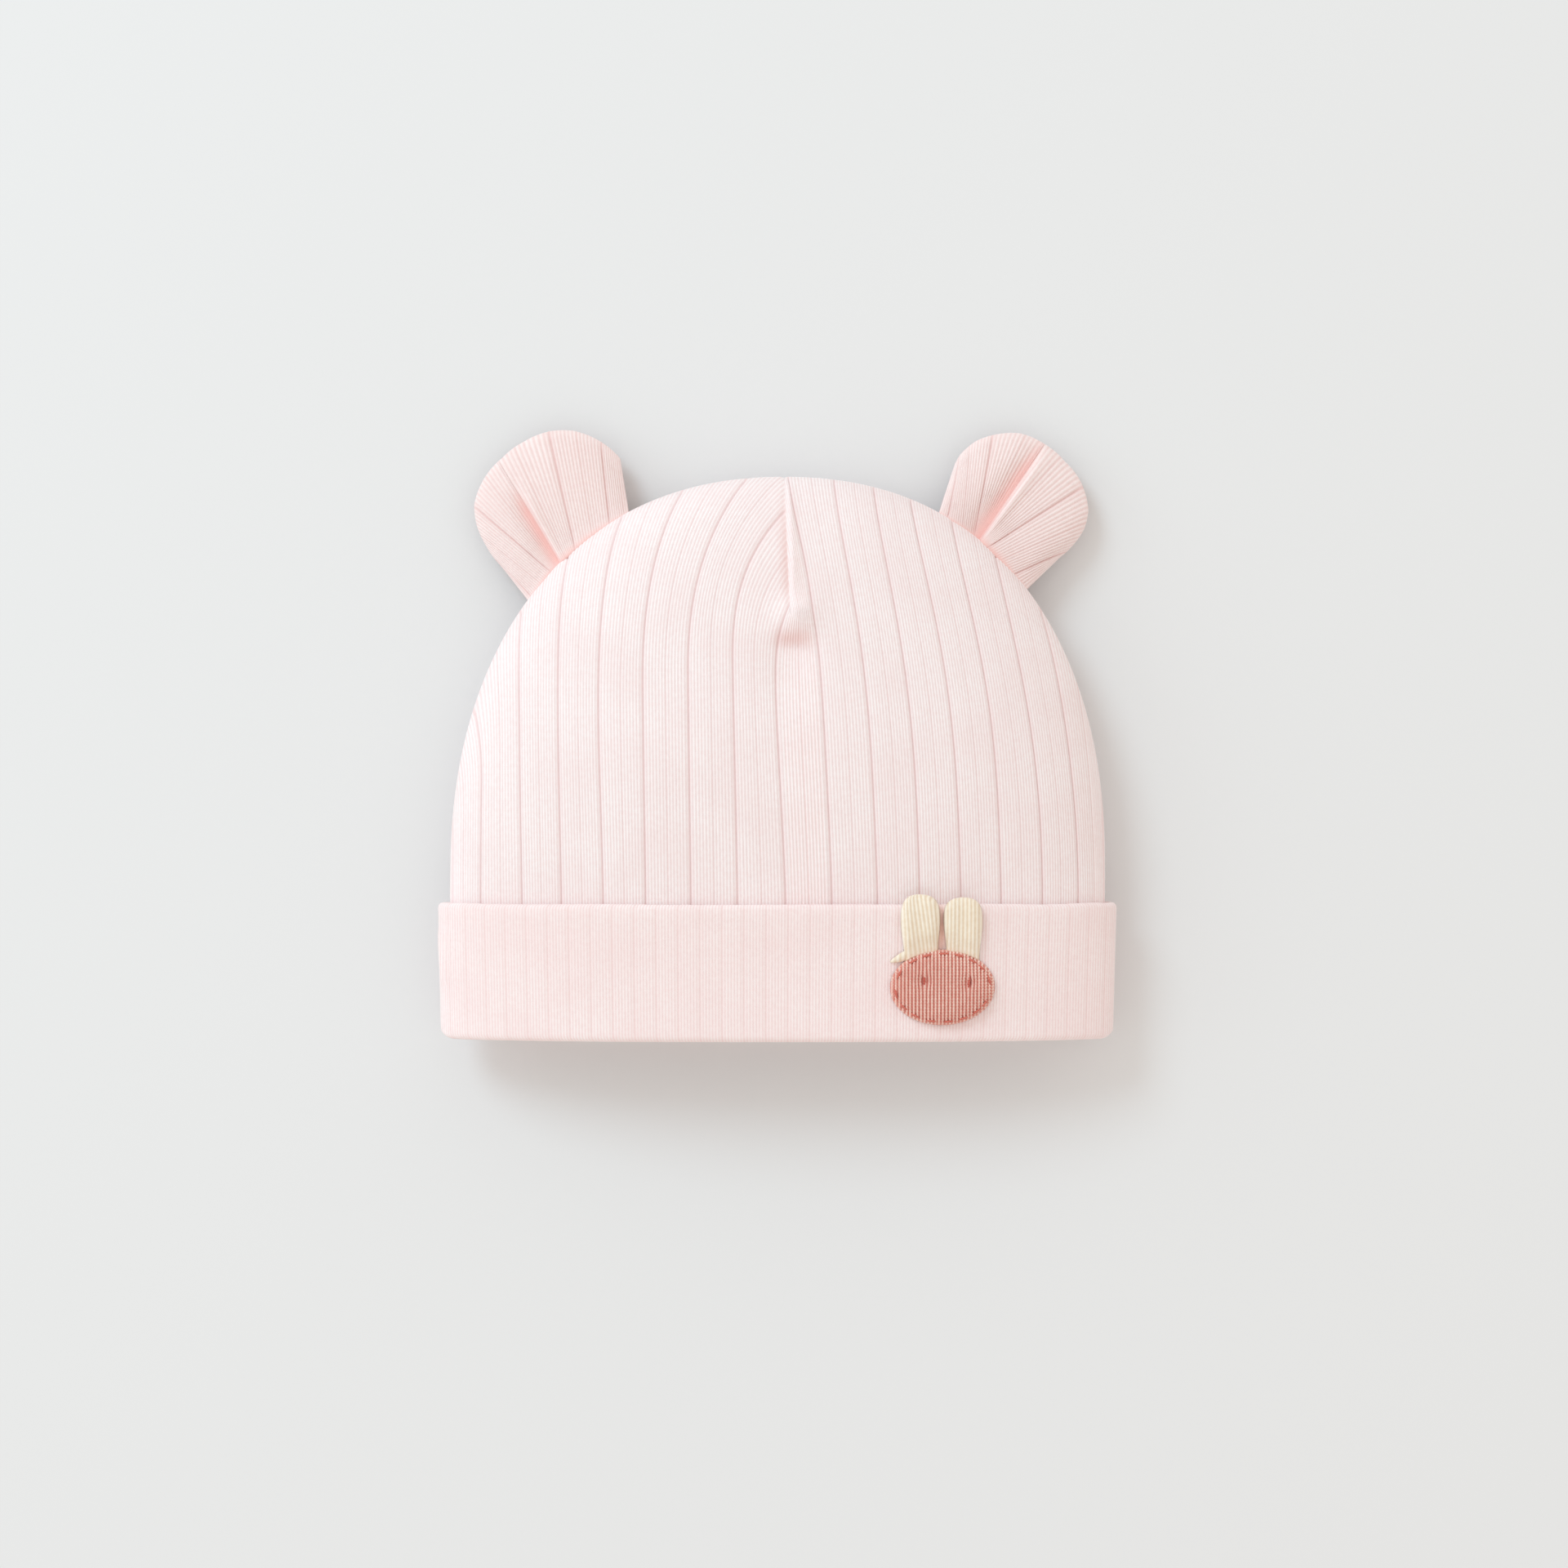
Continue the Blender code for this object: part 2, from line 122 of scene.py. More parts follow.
@dataclass
class Spot:
    """What one corner of a knitted mesh holds.

    wale and course are its place in the cloth, relief moves it along its normal once the mesh is closed,
    and painted_shade is 1 where the most shade is painted into its colour, where the cloth tucks in or under.
    """

    place: Vector
    wale: float = 0.0
    course: float = 0.0
    relief: float = 0.0
    painted_shade: float = 0.0


class KnitMesh:
    """A mesh under construction, made of grids that are laid corner by corner and then joined."""

    def __init__(self, name: str) -> None:
        """Starts an empty mesh with its layers.

        Args:
            name: Name of the object that it becomes.
        """
        self.name = name
        self.bm = bmesh.new()
        self.relief = self.bm.verts.layers.float.new("relief")
        self.painted_shade = self.bm.verts.layers.float.new(PAINTED_SHADE_NAME)
        self.knit = self.bm.loops.layers.uv.new(KNIT_MAP)

    def lay(self, columns: int, rows: int, spot: Callable[[int, int], Spot]) -> None:
        """Adds a grid of quads and moves each of its corners to its spot.

        Args:
            columns: Corners along the grid's first side.
            rows: Corners along its second side.
            spot: Gives the spot for a column and a row.
        """
        made = bmesh.ops.create_grid(self.bm, x_segments=columns - 1, y_segments=rows - 1, size=1.0)
        cloth = {}
        faces = set()
        for vert in made["verts"]:
            column = round((vert.co.x + 1) / 2 * (columns - 1))
            row = round((vert.co.y + 1) / 2 * (rows - 1))
            at = spot(column, row)
            vert.co = at.place
            vert[self.relief] = at.relief
            vert[self.painted_shade] = at.painted_shade
            cloth[vert] = (at.wale, at.course)
            faces.update(vert.link_faces)
        for face in faces:
            for loop in face.loops:
                loop[self.knit].uv = cloth[loop.vert]

    def join(self) -> None:
        """Merges the grids where their corners meet."""
        bmesh.ops.remove_doubles(self.bm, verts=self.bm.verts, dist=MERGE)

    def finished(self, material: bpy.types.Material) -> bpy.types.Object:
        """Closes the mesh, raises its relief and makes its object.

        Args:
            material: The piece's material.

        Returns:
            The new object, at the origin.
        """
        self.join()
        bmesh.ops.recalc_face_normals(self.bm, faces=self.bm.faces)
        self.bm.normal_update()
        moves = [(vert, vert.normal * vert[self.relief]) for vert in self.bm.verts]
        for vert, move in moves:
            vert.co += move
        self.bm.verts.layers.float.remove(self.bm.verts.layers.float["relief"])
        return object_of(self.name, self.bm, material)


def object_of(name: str, bm: bmesh.types.BMesh, material: bpy.types.Material) -> bpy.types.Object:
    """Makes a smooth-shaded object of a bmesh and frees it.

    Args:
        name: The object's name.
        bm: Its mesh.
        material: Its material.

    Returns:
        The object, linked to the scene.
    """
    mesh = bpy.data.meshes.new(name)
    bm.to_mesh(mesh)
    bm.free()
    mesh.shade_smooth()
    mesh.materials.append(material)
    made = bpy.data.objects.new(name, mesh)
    bpy.context.scene.collection.objects.link(made)
    log.info("%s: %d faces", name, len(mesh.polygons))
    return made


def dress(piece: bpy.types.Object, slot: str, *nodes: str) -> None:
    """Lets a piece ride on the hat and stand for CAD nodes.

    Args:
        piece: The finished piece.
        slot: The record's material slot; not used.
        nodes: The nodes that it replaces.
    """
    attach(piece, "root")
    if nodes:
        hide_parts(*nodes)


# Node trees


class Sheet:
    """A node tree with short calls that add its nodes."""

    def __init__(self, tree: bpy.types.NodeTree) -> None:
        """Keeps the tree that the calls add to.

        Args:
            tree: The material's or the group's tree.
        """
        self.tree = tree

    def add(self, kind: str, links: dict | None = None, **settings: object) -> bpy.types.Node:
        """Adds a node.

        Args:
            kind: The node's type, without ShaderNode.
            links: For each input, by name or number, the socket or the plain value that it gets.
            settings: The node's own properties.

        Returns:
            The node.
        """
        node = self.tree.nodes.new("ShaderNode" + kind)
        for name, value in settings.items():
            setattr(node, name, value)
        for key, value in (links or {}).items():
            if isinstance(value, bpy.types.NodeSocket):
                self.tree.links.new(value, node.inputs[key])
            else:
                node.inputs[key].default_value = value
        return node

    def sum(self, operation: str, *values: object, clamp: bool = False) -> bpy.types.NodeSocket:
        """Adds a Math node.

        Args:
            operation: What it does.
            values: Its inputs in their order, each a socket or a number.
            clamp: Whether the result is held between 0 and 1.

        Returns:
            Its result.
        """
        node = self.add("Math", dict(enumerate(values)), operation=operation, use_clamp=clamp)
        return node.outputs[0]

    def blend(self, share: object, first: object, second: object, kind: str = "MIX") -> bpy.types.NodeSocket:
        """Mixes two colours.

        Args:
            share: How much of the second, 0 to 1.
            first: Colour or socket.
            second: Colour or socket.
            kind: Blend type of the Mix node.

        Returns:
            The mixed colour.
        """
        links = {0: share, 6: first, 7: second}
        return self.add("Mix", links, data_type="RGBA", blend_type=kind, clamp_factor=True).outputs[2]

    def ramp(self, value: object, low: float, high: float, first: float, last: float) -> bpy.types.NodeSocket:
        """Maps a value smoothly from one range to another.

        Args:
            value: The socket that is mapped.
            low: Value that becomes first.
            high: Value that becomes last.
            first: Result at low and below.
            last: Result at high and above.

        Returns:
            The mapped value.
        """
        links = {0: value, 1: low, 2: high, 3: first, 4: last}
        return self.add("MapRange", links, interpolation_type="SMOOTHSTEP").outputs[0]


def new_group(name: str, inputs: dict[str, float], outputs: Sequence[str]) -> tuple[Sheet, dict, dict]:
    """Starts a shader node group of plain values.

    Args:
        name: The group's name.
        inputs: Its inputs with their default values.
        outputs: Its outputs.

    Returns:
        The group's sheet, its input sockets by name, and the sockets that its outputs come from.
    """
    tree = bpy.data.node_groups.new(name, "ShaderNodeTree")
    for label, value in inputs.items():
        socket = tree.interface.new_socket(name=label, in_out="INPUT", socket_type="NodeSocketFloat")
        socket.default_value = value
    for label in outputs:
        tree.interface.new_socket(name=label, in_out="OUTPUT", socket_type="NodeSocketFloat")
    entry, leaving = tree.nodes.new("NodeGroupInput"), tree.nodes.new("NodeGroupOutput")
    sources = {label: entry.outputs[label] for label in inputs}
    targets = {label: leaving.inputs[label] for label in outputs}
    return Sheet(tree), sources, targets


def knit_group() -> bpy.types.NodeTree:
    """Builds the masks of a knit's stitches from its wale and course counts, by which the materials paint
    shade.

    Returns:
        A group that puts out Valley (1 between two wales), Groove (1 in the groove between two ribs),
        Crease (1 on a rib's faint middle line) and Loop (1 on the back of each stitch).
    """
    inputs = {"Wale": 0.0, "Course": 0.0, "Rib": 14.0, "Slant": 0.8}
    sheet, given, gives = new_group("knit stitches", inputs, ("Valley", "Groove", "Crease", "Loop"))
    turn = sheet.sum("MULTIPLY", given["Wale"], 2 * math.pi)
    valley = sheet.sum("MULTIPLY_ADD", sheet.sum("COSINE", turn), 0.5, 0.5)
    share = sheet.sum("DIVIDE", given["Wale"], given["Rib"])
    for label, shift, reach in (("Groove", 0.5, 0.9), ("Crease", 0.0, 0.6)):
        part = sheet.sum("SUBTRACT", sheet.sum("FRACT", sheet.sum("ADD", share, shift)), 0.5)
        wales = sheet.sum("MULTIPLY", sheet.sum("ABSOLUTE", part), given["Rib"])
        sheet.tree.links.new(sheet.ramp(wales, 0.0, reach, 1.0, 0.0), gives[label])
    across = sheet.sum("ABSOLUTE", sheet.sum("SUBTRACT", sheet.sum("FRACT", given["Wale"]), 0.5))
    lean = sheet.sum("MULTIPLY_ADD", across, given["Slant"], given["Course"])
    wave = sheet.sum("COSINE", sheet.sum("MULTIPLY", lean, 2 * math.pi))
    sheet.tree.links.new(valley, gives["Valley"])
    sheet.tree.links.new(sheet.sum("MULTIPLY_ADD", wave, 0.5, 0.5), gives["Loop"])
    return sheet.tree


def fuzz_group() -> bpy.types.NodeTree:
    """Builds the unevenness of soft yarn.

    Returns:
        A group that puts out Tone (slow changes of shade), Speck (single lighter and darker stitches)
        and Fibre (fine fluff for the bump), each from 0 to 1.
    """
    inputs = {"Tone Scale": 60.0, "Speck Scale": 900.0, "Fibre Scale": 5000.0}
    sheet, given, gives = new_group("yarn fuzz", inputs, ("Tone", "Speck", "Fibre"))
    place = sheet.add("TexCoord").outputs["Object"]
    layers = (("Tone", "Tone Scale", 2.0), ("Speck", "Speck Scale", 1.0), ("Fibre", "Fibre Scale", 3.0))
    for label, scale, detail in layers:
        links = {"Vector": place, "Scale": given[scale], "Detail": detail}
        found = sheet.add("TexNoise", links).outputs[0]
        sheet.tree.links.new(sheet.ramp(found, 0.3, 0.7, 0.0, 1.0), gives[label])
    return sheet.tree


@dataclass(frozen=True)
class KnitFinish:
    """Colours and depths of one kind of knit: lit and shaded copies of its colour and deeper colours of
    painted shade, as a soft light shows them.
    """

    name: str
    # light and shade are lit and shaded copies of the knit's colour; groove is painted shade in the grooves
    # between ribs, painted_shading painted shade where the cloth tucks in or under.
    light: Colour
    shade: Colour
    groove: Colour
    painted_shading: Colour
    rib: float = 14.0
    slant: float = 0.8
    valley_share: float = 0.55
    groove_share: float = 0.8
    crease_share: float = 0.35
    loop_share: float = 0.02
    speck_share: float = 0.20
    tone_share: float = 0.25
    loop_height: float = 0.000012
    fibre_height: float = 0.00003
    roughness: float = 0.92
    sheen: float = 0.25
    specular: float = 0.2

    def material(self, groups: dict[str, bpy.types.NodeTree]) -> bpy.types.Material:
        """Builds the material from the shared groups.

        Args:
            groups: The knit and fuzz groups.

        Returns:
            The finished material.
        """
        made = bpy.data.materials.new(self.name)
        made.use_nodes = True
        sheet = Sheet(made.node_tree)
        shader = made.node_tree.nodes["Principled BSDF"]
        counts = sheet.add("SeparateXYZ", {0: sheet.add("UVMap", uv_map=KNIT_MAP).outputs[0]})
        wale, course = counts.outputs[0], counts.outputs[1]
        links = {"Wale": wale, "Course": course, "Rib": self.rib, "Slant": self.slant}
        knit = self.placed(sheet, groups["knit"], links).outputs
        fuzz = self.placed(sheet, groups["fuzz"], {}).outputs
        painted_shade = sheet.add("Attribute", attribute_name=PAINTED_SHADE_NAME).outputs["Fac"]
        # Painted shade between the wales, on the backs of the loops and on each rib's middle line; specks
        # vary it at random.
        deep = sheet.sum("MULTIPLY", knit["Valley"], self.valley_share)
        deep = sheet.sum("MULTIPLY_ADD", knit["Loop"], self.loop_share, deep)
        deep = sheet.sum("MULTIPLY_ADD", sheet.sum("SUBTRACT", fuzz["Speck"], 0.5), self.speck_share, deep)
        deep = sheet.sum("MULTIPLY_ADD", knit["Crease"], self.crease_share, deep, clamp=True)
        colour = sheet.blend(deep, self.light, self.shade)
        colour = sheet.blend(sheet.sum("MULTIPLY", fuzz["Tone"], self.tone_share), colour, self.shade)
        # Painted shade: the colour deepens towards painted_shading where the cloth tucks in or under another
        # piece
        colour = sheet.blend(painted_shade, colour, self.painted_shading)
        # Painted shade in the grooves between ribs.
        colour = sheet.blend(sheet.sum("MULTIPLY", knit["Groove"], self.groove_share), colour, self.groove)
        height = sheet.sum("MULTIPLY", knit["Loop"], -self.loop_height)
        height = sheet.sum("MULTIPLY_ADD", fuzz["Fibre"], self.fibre_height, height)
        bump = sheet.add("Bump", {"Height": height, "Distance": 1.0, "Strength": 1.0})
        made.node_tree.links.new(colour, shader.inputs["Base Color"])
        made.node_tree.links.new(bump.outputs[0], shader.inputs["Normal"])
        shader.inputs["Roughness"].default_value = self.roughness
        shader.inputs["Sheen Weight"].default_value = self.sheen
        shader.inputs["Specular IOR Level"].default_value = self.specular
        return made

    @staticmethod
    def placed(sheet: Sheet, group: bpy.types.NodeTree, links: dict) -> bpy.types.Node:
        """Places a group in a material.

        Args:
            sheet: The material's sheet.
            group: The group.
            links: Values or sockets for its inputs.

        Returns:
            The group's node.
        """
        node = sheet.add("Group", node_tree=group)
        for label, value in links.items():
            if isinstance(value, bpy.types.NodeSocket):
                sheet.tree.links.new(value, node.inputs[label])
            else:
                node.inputs[label].default_value = value
        return node


# Shape of the lying hat


@dataclass(frozen=True)
class HatForm:
    """The crown's form in its own coordinates: x from its middle, y up from the mouth, z from the floor.

    The front and the back are two domes over one outline, met at the side folds. Proud, in its methods, is
    how far outside the crown's outer surface a place lies.
    """

    # Read from the solids
    origin: Vector
    half_width_at_mouth: float
    height: float
    cuff_height: float
    # Cloths and the clearance between them
    wall: float = 0.0014
    gap: float = 0.0003
    cuff_wall: float = 0.0028
    cuff_clear: float = 0.0015
    # Outline from above
    shoulder: float = 0.042
    roundness: float = 2.25
    outline_rounds: int = 6
    apex_shift: float = 0.0018
    mouth_draw: float = 0.0009
    # Heights above the floor
    side_height: float = 0.0135
    seam_drop: float = 0.0025
    mouth_thickness: float = 0.027
    puff_thickness: float = 0.0335
    puff_share: float = 0.55
    pressed_depth: float = 0.0012
    back_ease: float = 0.010
    # Section, from the middle to the side folds and up to the closed top
    front_squareness: float = 2.6
    front_fall: float = 0.55
    back_squareness: float = 5.0
    back_fall: float = 0.6
    top_closing: float = 0.8
    back_closing: float = 0.5

    @classmethod
    def of_frame(cls) -> "HatForm":
        """Reads the hat's place, width and heights from the CAD nodes.

        Returns:
            The form, with the sizes that the solids have.
        """
        crown_low, crown_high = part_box("crown")
        cuff_low, cuff_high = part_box("cuff")
        origin = Vector(((cuff_low.x + cuff_high.x) / 2, cuff_low.y, 0.0))
        width = (crown_high.x - crown_low.x) / 2
        return cls(origin, width, crown_high.y - cuff_low.y, cuff_high.y - cuff_low.y)

    def closing(self, y: float, proud: float = 0.0) -> float:
        """Gives how much of the full width is left at this height, this far outside the crown."""
        over = limited((y - self.shoulder) / (self.height + proud - self.shoulder))
        return (1 - over**self.roundness) ** (1 / self.roundness)

    def half_width(self, y: float, proud: float = 0.0) -> float:
        """Gives half the width at this height."""
        draw = self.mouth_draw * (1 - limited(y / self.cuff_height))
        return (self.half_width_at_mouth + proud) * self.closing(y, proud) - draw

    def lean(self, y: float) -> float:
        """Gives how far the crown leans to the right at this height."""
        return self.apex_shift * limited(y / self.height) ** 2

    def edge_height(self, y: float) -> float:
        """Gives the height above the floor of the folded side."""
        return self.side_height - self.seam_drop * eased(y / self.height)

    def outline_y(self, x: float, proud: float = 0.0) -> float:
        """Gives the height at which the outline has closed in to x.

        Args:
            x: Place across the hat.
            proud: How far outside the crown.

        Returns:
            The height, found in a few rounds, because the crown's lean depends on it.
        """
        reach = self.height + proud - self.shoulder
        y = self.height
        for _ in range(self.outline_rounds):
            share = limited(abs(x - self.lean(y)) / (self.half_width_at_mouth + proud))
            y = self.shoulder + reach * (1 - share**self.roundness) ** (1 / self.roundness)
        return y

    def bed(self, y: float) -> float:
        """Gives the level that the back lies on: the floor, or the cuff's back where that is under it."""
        start = self.cuff_height + self.cuff_clear
        return (self.cuff_wall + self.gap) * (1 - eased((y - start) / self.back_ease))

    def across_at(self, x: float, y: float, proud: float = 0.0) -> float:
        """Gives 0 on the middle of the section at this height, and -1 or 1 at its side folds."""
        width = self.half_width(y, proud)
        return limited((x - self.lean(y)) / width, -1.0, 1.0) if width > MERGE else 0.0

    def front_z(self, across: float, y: float, proud: float = 0.0) -> float:
        """Gives the upper surface, or one that lies proud of it.

        Args:
            across: Share across the section, as across_at gives it.
            y: Height up from the mouth.
            proud: How far outside the crown.

        Returns:
            The surface's height above the floor.
        """
        side = self.edge_height(y)
        crest = between(self.mouth_thickness, self.puff_thickness, eased(y / (self.puff_share * self.height)))
        rise = (crest + proud - side) * self.closing(y, proud) ** self.top_closing
        return side + rise * (1 - abs(across) ** self.front_squareness) ** self.front_fall

    def back_z(self, across: float, y: float, proud: float = 0.0) -> float:
        """Gives the lower surface, flat where the hat rests.

        Args:
            across: Share across the section, as across_at gives it.
            y: Height up from the mouth.
            proud: How far outside the crown.

        Returns:
            The surface's height above the floor.
        """
        side = self.edge_height(y)
        drop = side - self.bed(y) + self.pressed_depth + proud
        drop *= self.closing(y, proud) ** self.back_closing
        free = side - drop * (1 - abs(across) ** self.back_squareness) ** self.back_fall
        return max(self.bed(y) - proud, free)

    def surface_z(self, face: Face, across: float, y: float, proud: float = 0.0) -> float:
        """Gives the surface that this face looks out from."""
        return self.front_z(across, y, proud) if face is Face.FRONT else self.back_z(across, y, proud)

    def cuff_z(self, x: float, y: float) -> float:
        """Gives the cuff's front, level past its top edge."""
        level, proud = min(y, self.cuff_height - self.cuff_wall / 2), self.gap + self.cuff_wall
        return self.front_z(self.across_at(x, level, proud), level, proud)

    def at(self, x: float, y: float, z: float) -> Vector:
        """Turns the form's coordinates into the scene's."""
        return self.origin + Vector((x, y, z))


@dataclass(frozen=True)
class RibRelief:
    """Depths of the knit's relief, from its wales up to its ribs."""

    per_rib: int = 14
    wale: float = 0.00020
    groove: float = 0.00028
    groove_reach: float = 0.42
    crease: float = 0.00006
    pillow: float = 0.00016

    def depth(self, wale: float) -> float:
        """Gives how deep the surface lies at a wale count.

        Args:
            wale: The count, a whole number in the valley between two wales.

        Returns:
            The depth as a height, always zero or less.
        """
        share = wale / self.per_rib
        off = abs(share - round(share)) * self.per_rib
        middle = self.per_rib / 2 - off
        fine = self.wale * (1 + math.cos(2 * math.pi * wale)) / 2
        ribs = self.groove * hump(off, self.groove_reach) + self.crease * hump(middle, self.groove_reach)
        return -fine - ribs - self.pillow * (1 - 2 * off / self.per_rib) ** 4


def table_value(rows: Sequence[dict[str, float]], key: str, at: float, name: str) -> float:
    """Reads a table between its rows.

    Args:
        rows: Rows in rising order of key.
        key: Column that is looked up.
        at: Value looked for in it.
        name: Column that is read.

    Returns:
        The value of the read column, straight between rows.
    """
    return float(np.interp(at, [row[key] for row in rows], [row[name] for row in rows]))


# How the wales run up the crown, as shares of its half width: rib counts the grooves from the middle one,
# base is the place at the mouth, end the place at the top edge and drift how far a wale strays to the left
# on its way. Past the share turn of its length it bends to its end with the power bend, and dart is how far
# down the dart's seam it ends.
GRAIN = (
    {"rib": -8.20, "base": -1.000, "end": -1.000, "drift": 0.000, "turn": 0.60, "bend": 2.20, "dart": 0.0},
    {"rib": -7.62, "base": -0.967, "end": -0.976, "drift": -0.002, "turn": 0.60, "bend": 2.20, "dart": 0.0},
    {"rib": -7.00, "base": -0.899, "end": -0.929, "drift": -0.004, "turn": 0.60, "bend": 2.20, "dart": 0.0},
    {"rib": -6.00, "base": -0.770, "end": -0.784, "drift": 0.015, "turn": 0.50, "bend": 2.20, "dart": 0.0},
    {"rib": -5.00, "base": -0.649, "end": -0.640, "drift": 0.023, "turn": 0.40, "bend": 2.20, "dart": 0.0},
    {"rib": -4.00, "base": -0.522, "end": -0.474, "drift": 0.037, "turn": 0.36, "bend": 2.20, "dart": 0.0},
    {"rib": -3.00, "base": -0.394, "end": -0.288, "drift": 0.018, "turn": 0.50, "bend": 2.36, "dart": 0.0},
    {"rib": -2.00, "base": -0.258, "end": -0.091, "drift": 0.017, "turn": 0.52, "bend": 2.35, "dart": 0.0},
    {"rib": -1.47, "base": -0.184, "end": 0.021, "drift": 0.022, "turn": 0.55, "bend": 2.50, "dart": 0.0},
    {"rib": -1.00, "base": -0.118, "end": 0.026, "drift": 0.027, "turn": 0.58, "bend": 2.70, "dart": 0.26},
    {"rib": 0.00, "base": 0.026, "end": 0.038, "drift": 0.050, "turn": 0.78, "bend": 2.20, "dart": 0.93},
    {"rib": 0.12, "base": 0.043, "end": 0.039, "drift": 0.045, "turn": 0.70, "bend": 2.00, "dart": 1.0},
    {"rib": 0.88, "base": 0.149, "end": 0.021, "drift": 0.068, "turn": 0.36, "bend": 3.00, "dart": 0.0},
    {"rib": 1.00, "base": 0.165, "end": 0.033, "drift": 0.071, "turn": 0.35, "bend": 3.05, "dart": 0.0},
    {"rib": 2.00, "base": 0.302, "end": 0.174, "drift": 0.069, "turn": 0.22, "bend": 2.95, "dart": 0.0},
    {"rib": 3.00, "base": 0.429, "end": 0.295, "drift": 0.058, "turn": 0.12, "bend": 2.80, "dart": 0.0},
    {"rib": 4.00, "base": 0.554, "end": 0.408, "drift": 0.064, "turn": 0.16, "bend": 2.80, "dart": 0.0},
    {"rib": 5.00, "base": 0.676, "end": 0.535, "drift": 0.056, "turn": 0.16, "bend": 2.60, "dart": 0.0},
    {"rib": 6.00, "base": 0.803, "end": 0.668, "drift": 0.029, "turn": 0.02, "bend": 2.30, "dart": 0.0},
    {"rib": 7.00, "base": 0.915, "end": 0.803, "drift": -0.010, "turn": 0.00, "bend": 1.75, "dart": 0.0},
    {"rib": 7.55, "base": 0.970, "end": 0.925, "drift": -0.004, "turn": 0.00, "bend": 1.75, "dart": 0.0},
    {"rib": 8.05, "base": 1.000, "end": 1.000, "drift": 0.000, "turn": 0.00, "bend": 1.75, "dart": 0.0},
)
LEFT_APEX, DART_MIDDLE, RIGHT_APEX = -0.184, 0.043, 0.149


class WaleCount:
    """Counts wales along the mouth, 14 to a rib, and more to the length where the cloth turns down."""

    MARGIN = 0.00012

    def __init__(self, form: HatForm, per_rib: int = 14) -> None:
        """Works out the count at the grooves.

        Args:
            form: The hat's form.
            per_rib: Wales from one groove to the next.
        """
        self.places = [row["base"] * form.half_width_at_mouth for row in GRAIN]
        self.wales = [row["rib"] * per_rib for row in GRAIN]

    def at(self, place: float) -> float:
        """Gives the wale count at a place along the mouth."""
        return float(np.interp(place, self.places, self.wales))

    def place(self, wale: float) -> float:
        """Gives the place of a wale along the mouth."""
        return float(np.interp(wale, self.wales, self.places))

    def steps(self, low: float, high: float, per_wale: int) -> list[float]:
        """Lists the places between two others that stand at even steps of a wale.

        Args:
            low: The first place.
            high: The last place.
            per_wale: Steps in a wale.

        Returns:
            The places, apart from any that are close to the two.
        """
        first, last = math.ceil(self.at(low) * per_wale), math.floor(self.at(high) * per_wale)
        places = [self.place(step / per_wale) for step in range(first, last + 1)]
        return [place for place in places if low + self.MARGIN < place < high - self.MARGIN]


@dataclass(frozen=True)
class Wale:
    """One column of the crown's mesh, from its base at the mouth to its end."""

    base: float
    count: float
    end_x: float
    end_y: float
    drift: float
    turn: float
    bend: float
    dart: float | None = None

    @property
    def on_dart(self) -> bool:
        """Tells whether it ends on the dart's seam."""
        return self.dart is not None


